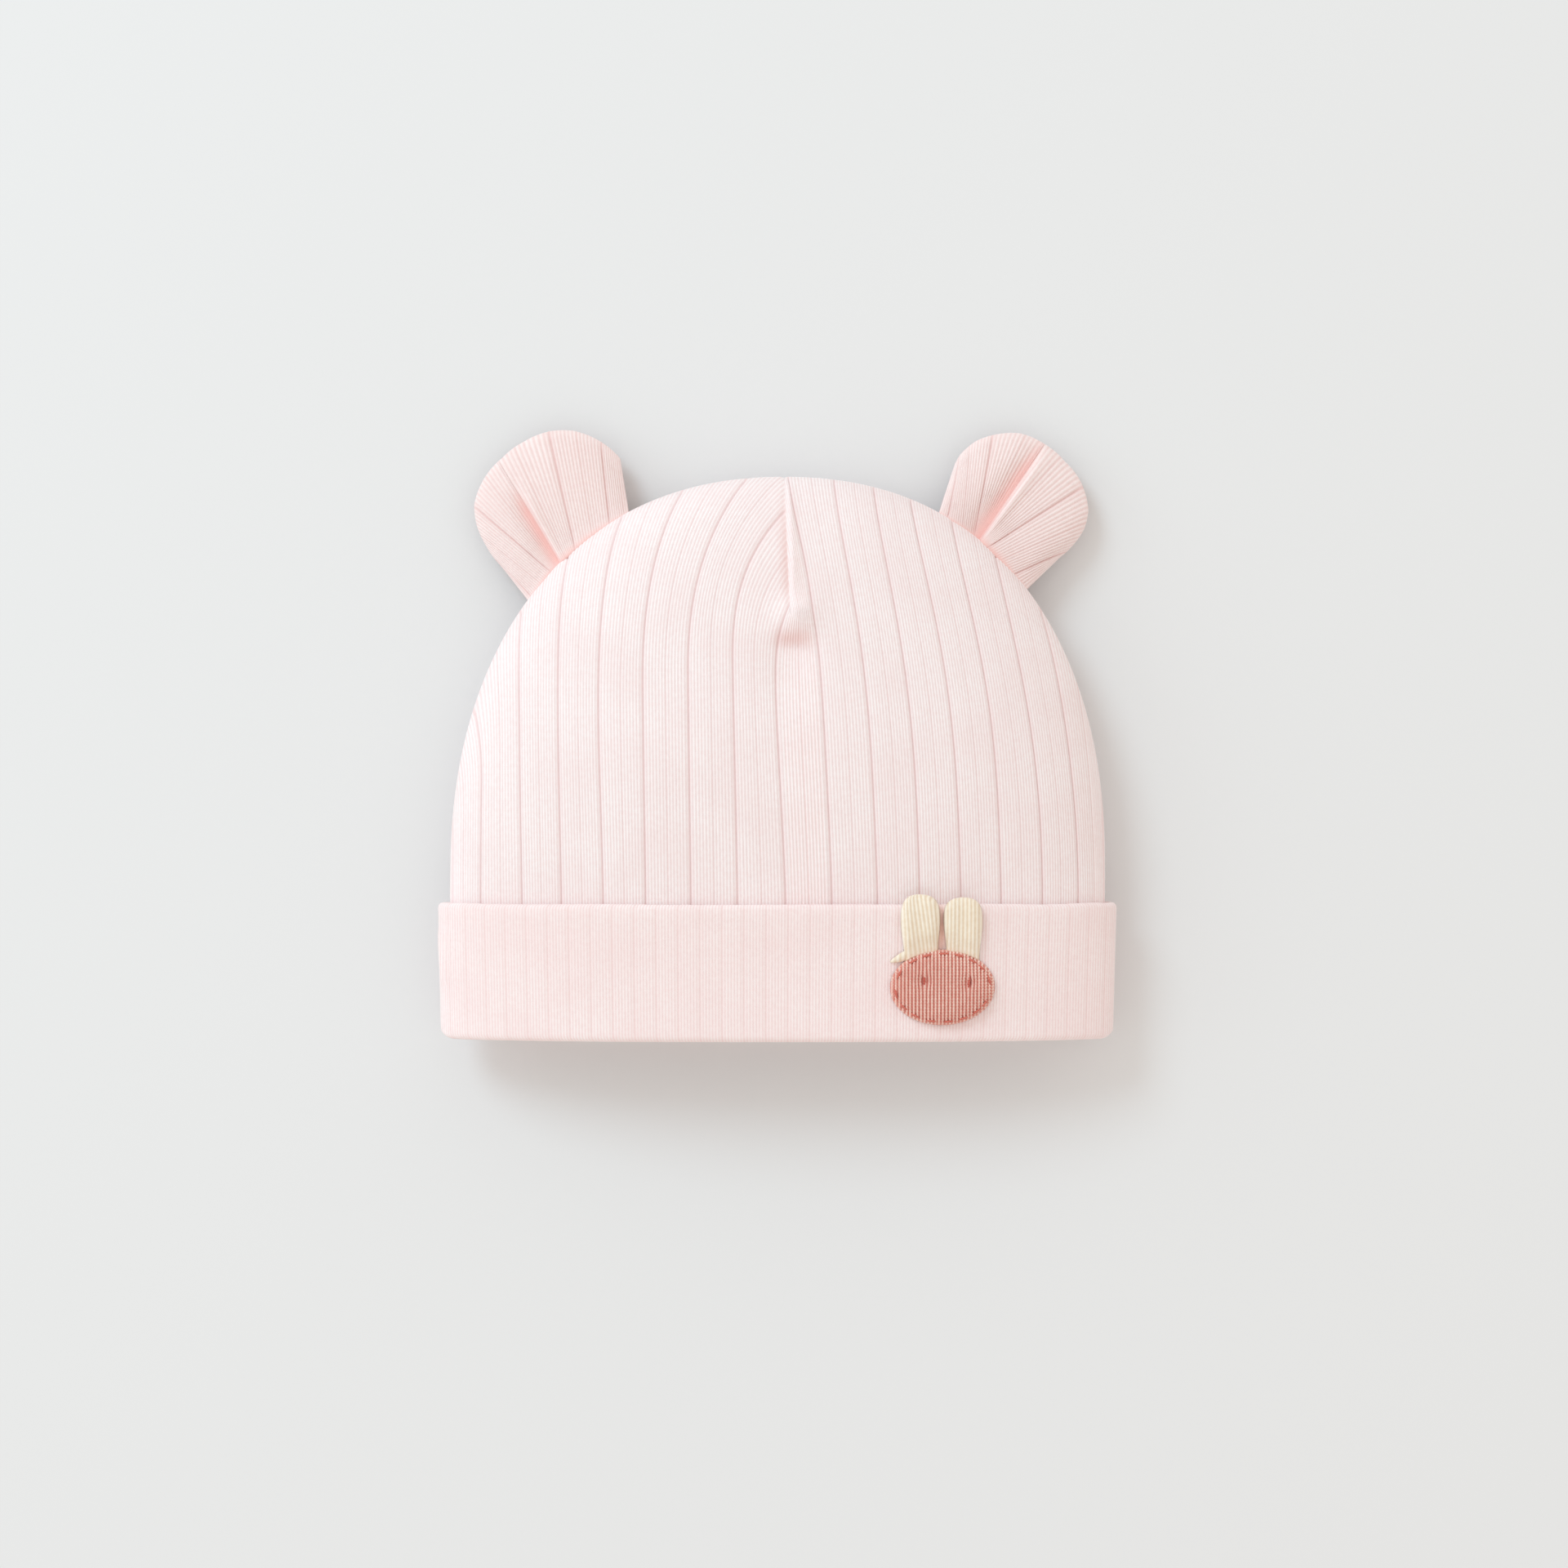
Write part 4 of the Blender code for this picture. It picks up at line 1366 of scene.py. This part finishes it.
@dataclass
class Ear:
    """A round padded ear, gathered into a pleat.

    It is a front and a back that share their rim. Up, in its methods, is 0 on the base and 1 on the rim.
    """

    form: HatForm
    shape: EarShape
    relief: RibRelief = RibRelief(wale=0.00029, groove=0.00030, crease=0.00003, pillow=0.00012)
    # Padding
    thickness: float = 0.0070
    base_thickness: float = 0.0048
    rim_height: float = 0.0062
    fill_run: float = 0.5
    side_fullness: int = 4
    rim_fullness: int = 4
    # Outline and mesh
    seam_gap: float = -0.0008
    sweep: float = math.radians(91)
    droop: float = 0.8
    steps_per_wale: int = 4
    rows: int = 64
    row_crowding: float = 1.5
    course: float = 0.0008
    # The pleat
    ridge: float = 0.0008
    ridge_place: float = 0.0016
    ridge_at_base: float = 0.35
    wall_reach: float = 0.0010
    pleat_full_to: float = 0.6
    # Painted shade in the pleat's valley
    pleat_shade: float = 0.85
    pleat_shade_reach: float = 0.55
    slope_at_base: float = 1.15
    slope_narrowing: float = 0.5
    # Painted shade along the base, and relief near it
    base_shade: float = 0.8
    base_shade_scale: float = 0.8
    base_shade_length: float = 0.0013
    relief_run: float = 9.0
    relief_gain: float = 2.5
    relief_start: float = 0.4
    full_pitch: float = 0.00055

    def __post_init__(self) -> None:
        """Places the ear's base and its round part."""
        shape, form = self.shape, self.form
        ends = []
        for share in (shape.outer, shape.inner):
            x = shape.side.value * share * form.half_width_at_mouth
            ends.append(Vector((x, form.outline_y(x, self.seam_gap), 0.0)))
        self.outer, self.inner = ends
        self.length = (self.inner - self.outer).length
        self.along = (self.inner - self.outer).normalized()
        self.out = Vector((self.along.y, -self.along.x, 0.0)) * shape.side.value
        middle = (self.outer + self.inner) / 2
        self.centre = middle + (self.along * shape.lean + self.out * shape.reach) * self.length

    def flat_place(self, base: float, rim: float, up: float) -> Vector:
        """Gives a place in the ear's plane.

        Args:
            base: Where its wale stands on the base, -1 to 1.
            rim: Where its wale stands on the rim, -1 to 1.
            up: Share of the way from base to rim.

        Returns:
            The place, in the form's coordinates.
        """
        x = between(self.outer.x, self.inner.x, (base + 1) / 2)
        foot = Vector((x, self.form.outline_y(x, self.seam_gap), 0.0))
        angle = self.sweep * rim
        radius = self.length * float(np.interp(rim, *zip(*self.shape.rim)))
        edge = self.centre + (self.along * math.sin(angle) + self.out * math.cos(angle)) * radius
        return foot.lerp(edge, up)

    def spacing(self, wale: float, up: float) -> float:
        """Tells how far apart the wales stand, because squeezed wales lie flat.

        Args:
            wale: The wale count.
            up: Share of the way from base to rim.

        Returns:
            1 where the wales have their full pitch, and less where they are squeezed.
        """
        places = []
        for near in (wale - 0.5, wale + 0.5):
            base, rim = (table_value(self.shape.grain, "wale", near, name) for name in ("base", "rim"))
            places.append(self.flat_place(base, rim, up))
        return limited((places[1] - places[0]).length / self.full_pitch) ** 2

    def pleat(self, off: float, up: float, swell: float) -> tuple[float, float, float]:
        """Works out the pleat, where the cloth falls slowly from the left and turns up steeply on the right.

        Args:
            off: Distance to the right of the fold's line.
            up: Share of the way from base to rim.
            swell: How full the ear is there.

        Returns:
            How much the surface is raised, how much shade is painted in its valley, and how smooth it is
            drawn.
        """
        shape = self.shape
        faded = (up / shape.pleat_length - self.pleat_full_to) / (1 - self.pleat_full_to)
        fading = between(1.0, shape.pleat_end, eased(faded))
        slope = shape.shade_reach * (self.slope_at_base - self.slope_narrowing * up)
        reach = slope if off < 0 else self.wall_reach
        sunk = shape.pleat_depth * hump(off, reach) * fading
        ridge_place = self.ridge_place * (self.ridge_at_base + up)
        beside = hump(off, self.wall_reach) / math.e
        drawn = fading * (hump(off - ridge_place, ridge_place) if off > 0 else beside)
        painted_shade = self.pleat_shade * hump(off, reach * self.pleat_shade_reach) * fading
        return (self.ridge * drawn - sunk) * swell, painted_shade, drawn

    def build(self, finish: bpy.types.Material) -> bpy.types.Object:
        """Builds the ear from a front and a back that share their rim, and a strip along the base.

        Args:
            finish: The rib knit.

        Returns:
            The ear's object.
        """
        shape, form = self.shape, self.form
        mesh = KnitMesh(shape.node + "_knit")
        first, last = shape.grain[0]["wale"], shape.grain[-1]["wale"]
        columns = round((last - first) * self.steps_per_wale) + 1
        to_right = 1.0 if shape.side is Side.LEFT else -1.0

        def spot_on(column: int, up: float, face: Face) -> Spot:
            """Places one corner by its share of the way up.

            Args:
                column: Its column, from the outer end.
                up: Share of the way from base to rim.
                face: Front or back.

            Returns:
                Its spot.
            """
            wale = between(first, last, column / (columns - 1))
            base = table_value(shape.grain, "wale", wale, "base")
            rim = table_value(shape.grain, "wale", wale, "rim")
            across = between(base, rim, up)
            point = self.flat_place(base, rim, up)
            fold = self.flat_place(*shape.pleat, up)
            level = between(form.edge_height(point.y), self.rim_height, up**self.droop)
            full = between(self.base_thickness, self.thickness, eased(up / self.fill_run))
            swell = (1 - abs(across) ** self.side_fullness) * (1 - up**self.rim_fullness)
            swell = math.sqrt(max(0.0, swell))
            z = level + face.value * full / 2 * swell
            # Painted shade along the base, where the ear meets the crown
            painted_shade = self.base_shade * hump(up * self.length * self.base_shade_scale, self.base_shade_length)
            drawn = 0.0
            if face is Face.FRONT:
                off = (point - fold).dot(self.along) * to_right
                # Raises the pleat and paints shade in its valley
                raised, painted_shading, drawn = self.pleat(off, up, swell)
                z += raised
                painted_shade = max(painted_shade, painted_shading)
            depth = self.relief.depth(wale) * self.spacing(wale, up)
            depth *= limited(swell * self.relief_gain - self.relief_start)
            depth *= (1 - drawn) * eased(up * self.relief_run)
            course = up * self.length / self.course
            return Spot(form.at(point.x, point.y, z), wale, course, depth, painted_shade)

        def spot(column: int, row: int, face: Face) -> Spot:
            """Places one corner of the front or the back by its row."""
            return spot_on(column, 1 - (1 - row / (self.rows - 1)) ** self.row_crowding, face)

        def base_spot(column: int, row: int) -> Spot:
            """Places one corner of the strip along the base."""
            return spot_on(column, 0.0, Face.FRONT if row else Face.BACK)

        for face in Face:
            mesh.lay(columns, self.rows, partial(spot, face=face))
        mesh.lay(columns, 2, base_spot)
        return mesh.finished(finish)


# Rabbit


@dataclass
class Rabbit:
    """The rabbit on the cuff: a padded face of twisted cords, two long ears and the thread that sews it on.

    Places on the face are shares of its half width and half height.
    """

    form: HatForm
    # The face
    shift: Pair = (-0.0007, 0.0008)
    half_width: float = 0.01335
    half_height: float = 0.0096
    thickness: float = 0.0030
    fullness: float = 5.0
    # Its cords
    cords: int = 29
    cord_steps: int = 8
    rows: int = 151
    back_rows: int = 9
    cord_depth: float = 0.00058
    twist_pitch: float = 0.00078
    twist_depth: float = 0.00015
    twist_lean: float = 0.75
    rim_run: float = 14.0
    side_run: float = 3.0
    # The eyes and the hollows round them
    dimple_depth: float = 0.0008
    dimple_reach: float = 0.0015
    eye_push: float = 0.00022
    eye_push_run: float = 0.0006
    eye_push_reach: Pair = (0.0016, 0.0020)
    # Painted shade in the hollows round the eyes
    eye_shade: float = 0.35
    eye_shade_reach: float = 0.0010
    eye_radius: float = 0.00032
    eyes: tuple[dict[str, float], ...] = (
        {"x": -0.356, "y": 0.184, "length": 0.0024, "tilt": 0.0},
        {"x": 0.495, "y": 0.141, "length": 0.0031, "tilt": -0.15},
    )
    # The ears
    ears: tuple[dict[str, float | str], ...] = (
        {"node": "rabbit_ear_left", "foot": -0.40, "tip": -0.44, "top": 0.0376, "slant": 1.5},
        {"node": "rabbit_ear_right", "foot": 0.38, "tip": 0.39, "top": 0.0368, "slant": 0.0},
    )
    ear_width: float = 0.0101
    ear_thickness: float = 0.0028
    ear_wales: int = 10
    ear_steps_per_wale: int = 5
    ear_rows: int = 57
    ear_relief: float = 0.00022
    ear_under_face: float = 0.0005
    ear_foot_width: float = 0.84
    ear_widening: float = 1.6
    ear_tip_squareness: int = 9
    ear_tip_roundness: float = 0.45
    ear_foot_fill: float = 0.45
    ear_fill_rise: float = 2.5
    ear_hollow: float = 0.22
    ear_hollow_across: float = -0.1
    ear_hollow_reach: float = 0.5
    # Painted shade at the foot of each ear, where it goes under the face
    ear_foot_shade: float = 0.4
    ear_foot_shade_reach: float = 0.06
    cream_course: float = 0.0007
    # The small corner beside the face
    corner: tuple[float, float, float, float] = (0.0312, 0.0216, 0.0027, 0.0017)
    corner_steps: int = 16
    corner_slope: float = 0.42
    corner_thickness: float = 0.0009
    corner_left_height: float = 0.35
    # The thread
    stitch_ring: float = 0.90
    stitch_length: float = 0.0027
    stitch_radius: float = 0.00031
    stitch_sink: float = 0.00045
    stitch_sides: int = 10
    stitch_rows: int = 12
    stitch_plies: int = 2
    stitch_course: float = 0.0012
    stitch_angles: tuple[float, ...] = (
        128, 109, 89, 70, 52, 35, 13, -28, -45, -64, -83, -104, -126, -145, -170, 157
    )

    def __post_init__(self) -> None:
        """Places the face on the cuff."""
        low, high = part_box("rabbit_face")
        self.x = (low.x + high.x) / 2 - self.form.origin.x + self.shift[0]
        self.y = (low.y + high.y) / 2 - self.form.origin.y + self.shift[1]

    def on_face(self, u: float, v: float) -> Pair:
        """Turns shares of the half width and half height into a place."""
        return self.x + u * self.half_width, self.y + v * self.half_height

    def dome_z(self, x: float, y: float) -> float:
        """Gives the face's upper surface, with its two hollows.

        Args:
            x: Place across, in the form's coordinates.
            y: Height up from the mouth.

        Returns:
            The surface's height above the floor.
        """
        reach = min(1.0, math.hypot((x - self.x) / self.half_width, (y - self.y) / self.half_height))
        swell = math.sqrt(1 - reach**self.fullness)
        dents = sum(
            self.dimple_depth * hump(math.dist((x, y), self.on_face(eye["x"], eye["y"])), self.dimple_reach)
            for eye in self.eyes
        )
        return self.form.cuff_z(x, y) + self.form.gap + (self.thickness - dents) * swell

    def pushed(self, x: float, y: float) -> float:
        """Pushes a cord aside where an eye is sewn between cords.

        Args:
            x: The cord's place across.
            y: Height up from the mouth.

        Returns:
            Its new place across.
        """
        reach_x, reach_y = self.eye_push_reach
        for eye in self.eyes:
            eye_x, eye_y = self.on_face(eye["x"], eye["y"])
            dx, dy = x - eye_x, y - eye_y
            x += self.eye_push * math.tanh(dx / self.eye_push_run) * hump(dx, reach_x) * hump(dy, reach_y)
        return x

    def build_face(self, finish: bpy.types.Material) -> bpy.types.Object:
        """Builds the face's padded oval with its upright twisted cords.

        Args:
            finish: The coarse rose knit.

        Returns:
            The face's object.
        """
        mesh = KnitMesh("rabbit_face_knit")
        columns = self.cords * self.cord_steps + 1

        def spot(column: int, row: int, face: Face, rows: int) -> Spot:
            """Places one corner.

            Args:
                column: Its column, from the left.
                row: Its row, from below.
                face: Front or back.
                rows: Rows of corners on that side.

            Returns:
                Its spot.
            """
            share, up = between(-1, 1, column / (columns - 1)), -math.cos(math.pi * row / (rows - 1))
            tall = math.sqrt(max(0.0, 1 - share * share))
            cord = column / self.cord_steps
            x, y = self.on_face(share, up * tall)
            course = (y - self.y) / self.twist_pitch
            if face is Face.BACK:
                return Spot(self.form.at(x, y, self.form.cuff_z(x, y) + self.form.gap), cord, course)
            z = self.dome_z(x, y)
            crest = abs(math.sin(math.pi * cord))
            turn = math.cos(2 * math.pi * (course + self.twist_lean * (cord % 1)))
            relief = self.cord_depth * (crest - 1) + self.twist_depth * turn * crest
            relief *= limited((1 - abs(up)) * self.rim_run) * limited(tall * self.side_run)
            x = between(x, self.pushed(x, y), tall * (1 - up**4))
            # Painted shade in the hollows round the eyes
            from_eyes = (math.dist((x, y), self.on_face(eye["x"], eye["y"])) for eye in self.eyes)
            painted_shade = self.eye_shade * max(hump(distance, self.eye_shade_reach) for distance in from_eyes)
            return Spot(self.form.at(x, y, z), cord, course, relief, painted_shade)

        for face, rows in ((Face.FRONT, self.rows), (Face.BACK, self.back_rows)):
            mesh.lay(columns, rows, partial(spot, face=face, rows=rows))
        return mesh.finished(finish)

    def build_ear(self, ear: dict[str, float | str], finish: bpy.types.Material) -> bpy.types.Object:
        """Builds one of the rabbit's long ears, from the face's upper edge to past the cuff's top.

        Args:
            ear: Its row of the table.
            finish: The cream knit.

        Returns:
            The ear's object.
        """
        form = self.form
        mesh = KnitMesh(ear["node"] + "_knit")
        first, last = (self.x + ear[name] * self.half_width for name in ("foot", "tip"))
        columns, rows = self.ear_wales * self.ear_steps_per_wale + 1, self.ear_rows

        def spot(column: int, row: int, face: Face) -> Spot:
            """Places one corner.

            Args:
                column: Its column, from the left.
                row: Its row, from the foot.
                face: Front or back.

            Returns:
                Its spot.
            """
            across, up = between(-1, 1, column / (columns - 1)), row / (rows - 1)
            along = math.sin(up * math.pi / 2)
            full = between(self.ear_foot_width, 1.0, eased(along * self.ear_widening)) * self.ear_width / 2
            full *= (1 - along**self.ear_tip_squareness) ** self.ear_tip_roundness if along < 1 else 0.0
            middle = between(first, last, along)
            x = middle + across * full
            off = limited(abs(x - self.x) / (self.half_width + form.gap))
            start = self.y + (self.half_height - self.ear_under_face) * math.sqrt(1 - off * off)
            y = between(start, ear["top"], along)
            swell = math.sqrt(max(0.0, (1 - across**4) * (1 - along**6)))
            hollow = self.ear_hollow * hump(across - self.ear_hollow_across, self.ear_hollow_reach)
            swell *= between(self.ear_foot_fill, 1.0, eased(along * self.ear_fill_rise)) * (1 - hollow)
            z = form.cuff_z(x, y) + form.gap
            wale = (0.5 + (x - middle) / self.ear_width) * self.ear_wales
            wale += ear["slant"] * (along - 0.5) * (1 - across**2)
            relief = 0.0
            if face is Face.FRONT:
                relief = -self.ear_relief * (1 + math.cos(2 * math.pi * wale)) / 2 * limited(swell * 2 - 0.2)
                z += self.ear_thickness * swell
            # Painted shade at the foot, where the ear goes under the face
            painted_shade = self.ear_foot_shade * hump(along, self.ear_foot_shade_reach)
            return Spot(form.at(x, y, z), wale, y / self.cream_course, relief, painted_shade)

        def foot_spot(column: int, row: int) -> Spot:
            """Places one corner of the strip along the foot."""
            return spot(column, 0, Face.FRONT if row else Face.BACK)

        for face in Face:
            mesh.lay(columns, rows, partial(spot, face=face))
        mesh.lay(columns, 2, foot_spot)
        return mesh.finished(finish)

    def build_corner(self, finish: bpy.types.Material) -> bpy.types.Object:
        """Builds the small corner of the left ear's cloth that sticks out beside the face.

        Args:
            finish: The cream knit.

        Returns:
            The corner's object.
        """
        mesh = KnitMesh("rabbit_ear_corner")
        middle_x, middle_y, wide, high = self.corner
        steps = self.corner_steps

        def spot(column: int, row: int, face: Face) -> Spot:
            """Places one corner of the mesh.

            Args:
                column: Its column, from the left.
                row: Its row, from below.
                face: Front or back.

            Returns:
                Its spot.
            """
            share, up = between(-1, 1, column / steps), -math.cos(math.pi * row / steps)
            x = middle_x + share * wide
            taper = between(self.corner_left_height, 1.0, (share + 1) / 2)
            half = high * math.sqrt(1 - share * share) * taper
            y = middle_y + up * half + self.corner_slope * (x - middle_x)
            swell = math.sqrt((1 - share * share) * (1 - up * up))
            z = self.form.cuff_z(x, y) + self.form.gap
            if face is Face.FRONT:
                z += self.corner_thickness * swell
            return Spot(self.form.at(x, y, z), share * 2, y / self.cream_course)

        for face in Face:
            mesh.lay(steps + 1, steps + 1, partial(spot, face=face))
        return mesh.finished(finish)

    def lay_stitch(self, mesh: KnitMesh, middle: Pair, angle: float, length: float, radius: float) -> None:
        """Lays one stitch of thread on the face, its ends sunk into the cords.

        Args:
            mesh: The mesh that it goes into.
            middle: Its middle, in the form's coordinates.
            angle: Its direction in the plane, in radians.
            length: Its length.
            radius: The thread's radius.
        """
        run = Vector((math.cos(angle), math.sin(angle), 0.0))
        aside, upwards = Vector((-run.y, run.x, 0.0)), Vector((0.0, 0.0, 1.0))

        def spot(column: int, row: int) -> Spot:
            """Places one corner of the thread's tube.

            Args:
                column: Its side of the tube.
                row: Its row along the thread.

            Returns:
                Its spot.
            """
            along = -math.cos(math.pi * row / self.stitch_rows)
            turn = 2 * math.pi * (column % self.stitch_sides) / self.stitch_sides
            x, y = middle[0] + run.x * along * length / 2, middle[1] + run.y * along * length / 2
            core = self.form.at(x, y, self.dome_z(x, y) - self.stitch_sink * along**2)
            thick = radius * math.sqrt(1 - along**4) if abs(along) < 1 else 0.0
            place = core + (aside * math.cos(turn) + upwards * math.sin(turn)) * thick
            ply = column * self.stitch_plies / self.stitch_sides
            return Spot(place, ply, along * length / self.stitch_course)

        mesh.lay(self.stitch_sides + 1, self.stitch_rows + 1, spot)

    def build_stitches(self, finish: bpy.types.Material) -> bpy.types.Object:
        """Builds the running stitches round the face's rim.

        Args:
            finish: The sewing thread.

        Returns:
            The stitches' object.
        """
        mesh = KnitMesh("rabbit_rim_stitches")
        for degrees in self.stitch_angles:
            angle = math.radians(degrees)
            u, v = self.stitch_ring * math.cos(angle), self.stitch_ring * math.sin(angle)
            along = math.atan2(self.half_height * math.cos(angle), -self.half_width * math.sin(angle))
            self.lay_stitch(mesh, self.on_face(u, v), along, self.stitch_length, self.stitch_radius)
        return mesh.finished(finish)

    def build_eyes(self, finish: bpy.types.Material) -> bpy.types.Object:
        """Builds the two eyes, each an upright stitch pulled in between the cords.

        Args:
            finish: The eyes' thread.

        Returns:
            The eyes' object.
        """
        mesh = KnitMesh("rabbit_eye_stitches")
        for eye in self.eyes:
            upright = math.pi / 2 + eye["tilt"]
            self.lay_stitch(mesh, self.on_face(eye["x"], eye["y"]), upright, eye["length"], self.eye_radius)
        return mesh.finished(finish)


# Studio


@dataclass
class Studio:
    """The pale floor, the soft light from the upper left and the camera straight above."""

    floor_size: float = 3.0
    camera_height: float = 0.9
    camera_x: float = 0.0018
    camera_y: float = -0.0129
    lens: float = 79.0
    floor_colour: Colour = (0.81, 0.81, 0.81, 1.0)
    key_size: float = 1.1
    key_power: float = 21.0
    key_colour: tuple[float, float, float] = (0.66, 0.875, 1.0)
    key_place: tuple[float, float, float] = (-1.31, 1.49, 1.67)
    side_size: float = 1.8
    side_power: float = 9.0
    side_place: tuple[float, float, float] = (-2.0, 0.5, 0.42)
    fill_colour: Colour = (1.0, 0.95, 0.905, 1.0)
    fill_strength: float = 0.85

    def build(self) -> None:
        """Makes the floor, the lights and the camera."""
        self.floor()
        self.lights()
        self.camera()

    def floor(self) -> None:
        """Lays the floor under the hat."""
        bm = bmesh.new()
        bmesh.ops.create_grid(bm, x_segments=2, y_segments=2, size=self.floor_size / 2)
        material = bpy.data.materials.new("pale paper")
        material.use_nodes = True
        shader = material.node_tree.nodes["Principled BSDF"]
        shader.inputs["Base Color"].default_value = self.floor_colour
        shader.inputs["Roughness"].default_value = 1.0
        shader.inputs["Specular IOR Level"].default_value = 0.0
        object_of("floor", bm, material)

    def lamp(self, name: str, place: tuple[float, float, float], size: float, power: float) -> None:
        """Hangs one round soft lamp that shines on the hat.

        Args:
            name: Its name.
            place: Where it hangs.
            size: Its width.
            power: Its power in watts.
        """
        lamp = bpy.data.lights.new(name, "AREA")
        lamp.shape = "DISK"
        lamp.size = size
        lamp.energy = power
        lamp.color = self.key_colour
        made = bpy.data.objects.new(name, lamp)
        made.location = place
        made.rotation_mode = "QUATERNION"
        made.rotation_quaternion = Vector(place).to_track_quat("Z", "Y")
        bpy.context.scene.collection.objects.link(made)

    def lights(self) -> None:
        """Hangs a key lamp on the upper left and a low one beside it, and lets the room fill the shadows."""
        self.lamp("key", self.key_place, self.key_size, self.key_power)
        self.lamp("side", self.side_place, self.side_size, self.side_power)
        world = bpy.data.worlds.new("room")
        world.use_nodes = True
        world.node_tree.nodes["Background"].inputs["Color"].default_value = self.fill_colour
        world.node_tree.nodes["Background"].inputs["Strength"].default_value = self.fill_strength
        bpy.context.scene.world = world
        bpy.context.scene.view_settings.view_transform = "Standard"

    def camera(self) -> None:
        """Looks straight down at the hat."""
        camera = bpy.data.cameras.new("above")
        camera.lens = self.lens
        camera.sensor_width = 36.0
        made = bpy.data.objects.new("above", camera)
        made.location = (self.camera_x, self.camera_y, self.camera_height)
        bpy.context.scene.collection.objects.link(made)
        bpy.context.scene.camera = made


# Finishes: lit and shaded copies of each colour, and deeper colours for painted shade


PINK_RIB = KnitFinish(
    name="pink rib knit",
    light=srgb(255, 247, 246), shade=srgb(245, 221, 219),
    groove=srgb(240, 205, 203), painted_shading=srgb(238, 196, 190),
    valley_share=0.75, groove_share=0.5, crease_share=0.25,
)
EAR_RIB = KnitFinish(
    name="pink rib knit of the ears",
    light=srgb(253, 238, 235), shade=srgb(241, 212, 208),
    groove=srgb(236, 198, 194), painted_shading=srgb(246, 190, 182),
    valley_share=0.75, groove_share=0.5, crease_share=0.25,
)
PINK_REVERSE = KnitFinish(
    name="pink knit reverse",
    light=srgb(254, 242, 240), shade=srgb(245, 217, 215),
    groove=srgb(242, 208, 205), painted_shading=srgb(250, 200, 180),
    rib=7.0, valley_share=0.7, groove_share=0.25, crease_share=0.0,
)
ROSE_CORD = KnitFinish(
    name="rose cord knit",
    light=srgb(255, 230, 216), shade=srgb(223, 145, 130),
    groove=srgb(176, 90, 78), painted_shading=srgb(205, 110, 96),
    rib=NO_RIBS, slant=0.75, valley_share=1.0, groove_share=0.0, crease_share=0.0,
    loop_share=0.35, loop_height=0.00004,
)
RIM_THREAD = KnitFinish(
    name="rim thread",
    light=srgb(222, 130, 114), shade=srgb(196, 98, 84),
    groove=srgb(176, 90, 78), painted_shading=srgb(190, 100, 88),
    rib=NO_RIBS, slant=0.5, groove_share=0.0, crease_share=0.0, loop_share=0.6,
)
EYE_THREAD = KnitFinish(
    name="eye thread",
    light=srgb(212, 114, 100), shade=srgb(182, 84, 72),
    groove=srgb(130, 45, 40), painted_shading=srgb(150, 60, 52),
    rib=NO_RIBS, slant=0.5, groove_share=0.0, crease_share=0.0, loop_share=0.6,
)
CREAM_KNIT = KnitFinish(
    name="cream knit",
    light=srgb(253, 245, 229), shade=srgb(232, 209, 180),
    groove=srgb(240, 215, 190), painted_shading=srgb(240, 205, 182),
    rib=NO_RIBS, valley_share=0.8, groove_share=0.0, crease_share=0.0,
)


# The whole hat


def build_hat() -> None:
    """Builds and dresses every piece of the hat."""
    groups = {"knit": knit_group(), "fuzz": fuzz_group()}
    form = HatForm.of_frame()
    wales = WaleCount(form)
    rib, ear_rib, reverse = (finish.material(groups) for finish in (PINK_RIB, EAR_RIB, PINK_REVERSE))
    rose, cream = ROSE_CORD.material(groups), CREAM_KNIT.material(groups)

    cuff = Cuff(form).build(reverse)
    dress(cuff, "pink_knit_reverse", "cuff")
    crown = Crown(form, wales).build(rib)
    dress(crown, "pink_rib_knit", "crown")
    for shape in (LEFT_EAR, RIGHT_EAR):
        ear = Ear(form, shape).build(ear_rib)
        dress(ear, "pink_rib_knit", shape.node)
    rabbit = Rabbit(form)
    face = rabbit.build_face(rose)
    dress(face, "rose_rib_knit", "rabbit_face")
    for row in rabbit.ears:
        ear = rabbit.build_ear(row, cream)
        dress(ear, "cream_knit", row["node"])
    corner = rabbit.build_corner(cream)
    dress(corner, "cream_knit")
    dress(rabbit.build_stitches(RIM_THREAD.material(groups)), "rose_rib_knit")
    dress(rabbit.build_eyes(EYE_THREAD.material(groups)), "rose_rib_knit")


def main() -> None:
    """Builds the hat and the studio round it."""
    logging.basicConfig(level=logging.INFO, format="%(message)s")
    build_hat()
    Studio().build()


if __name__ == "__main__":
    main()
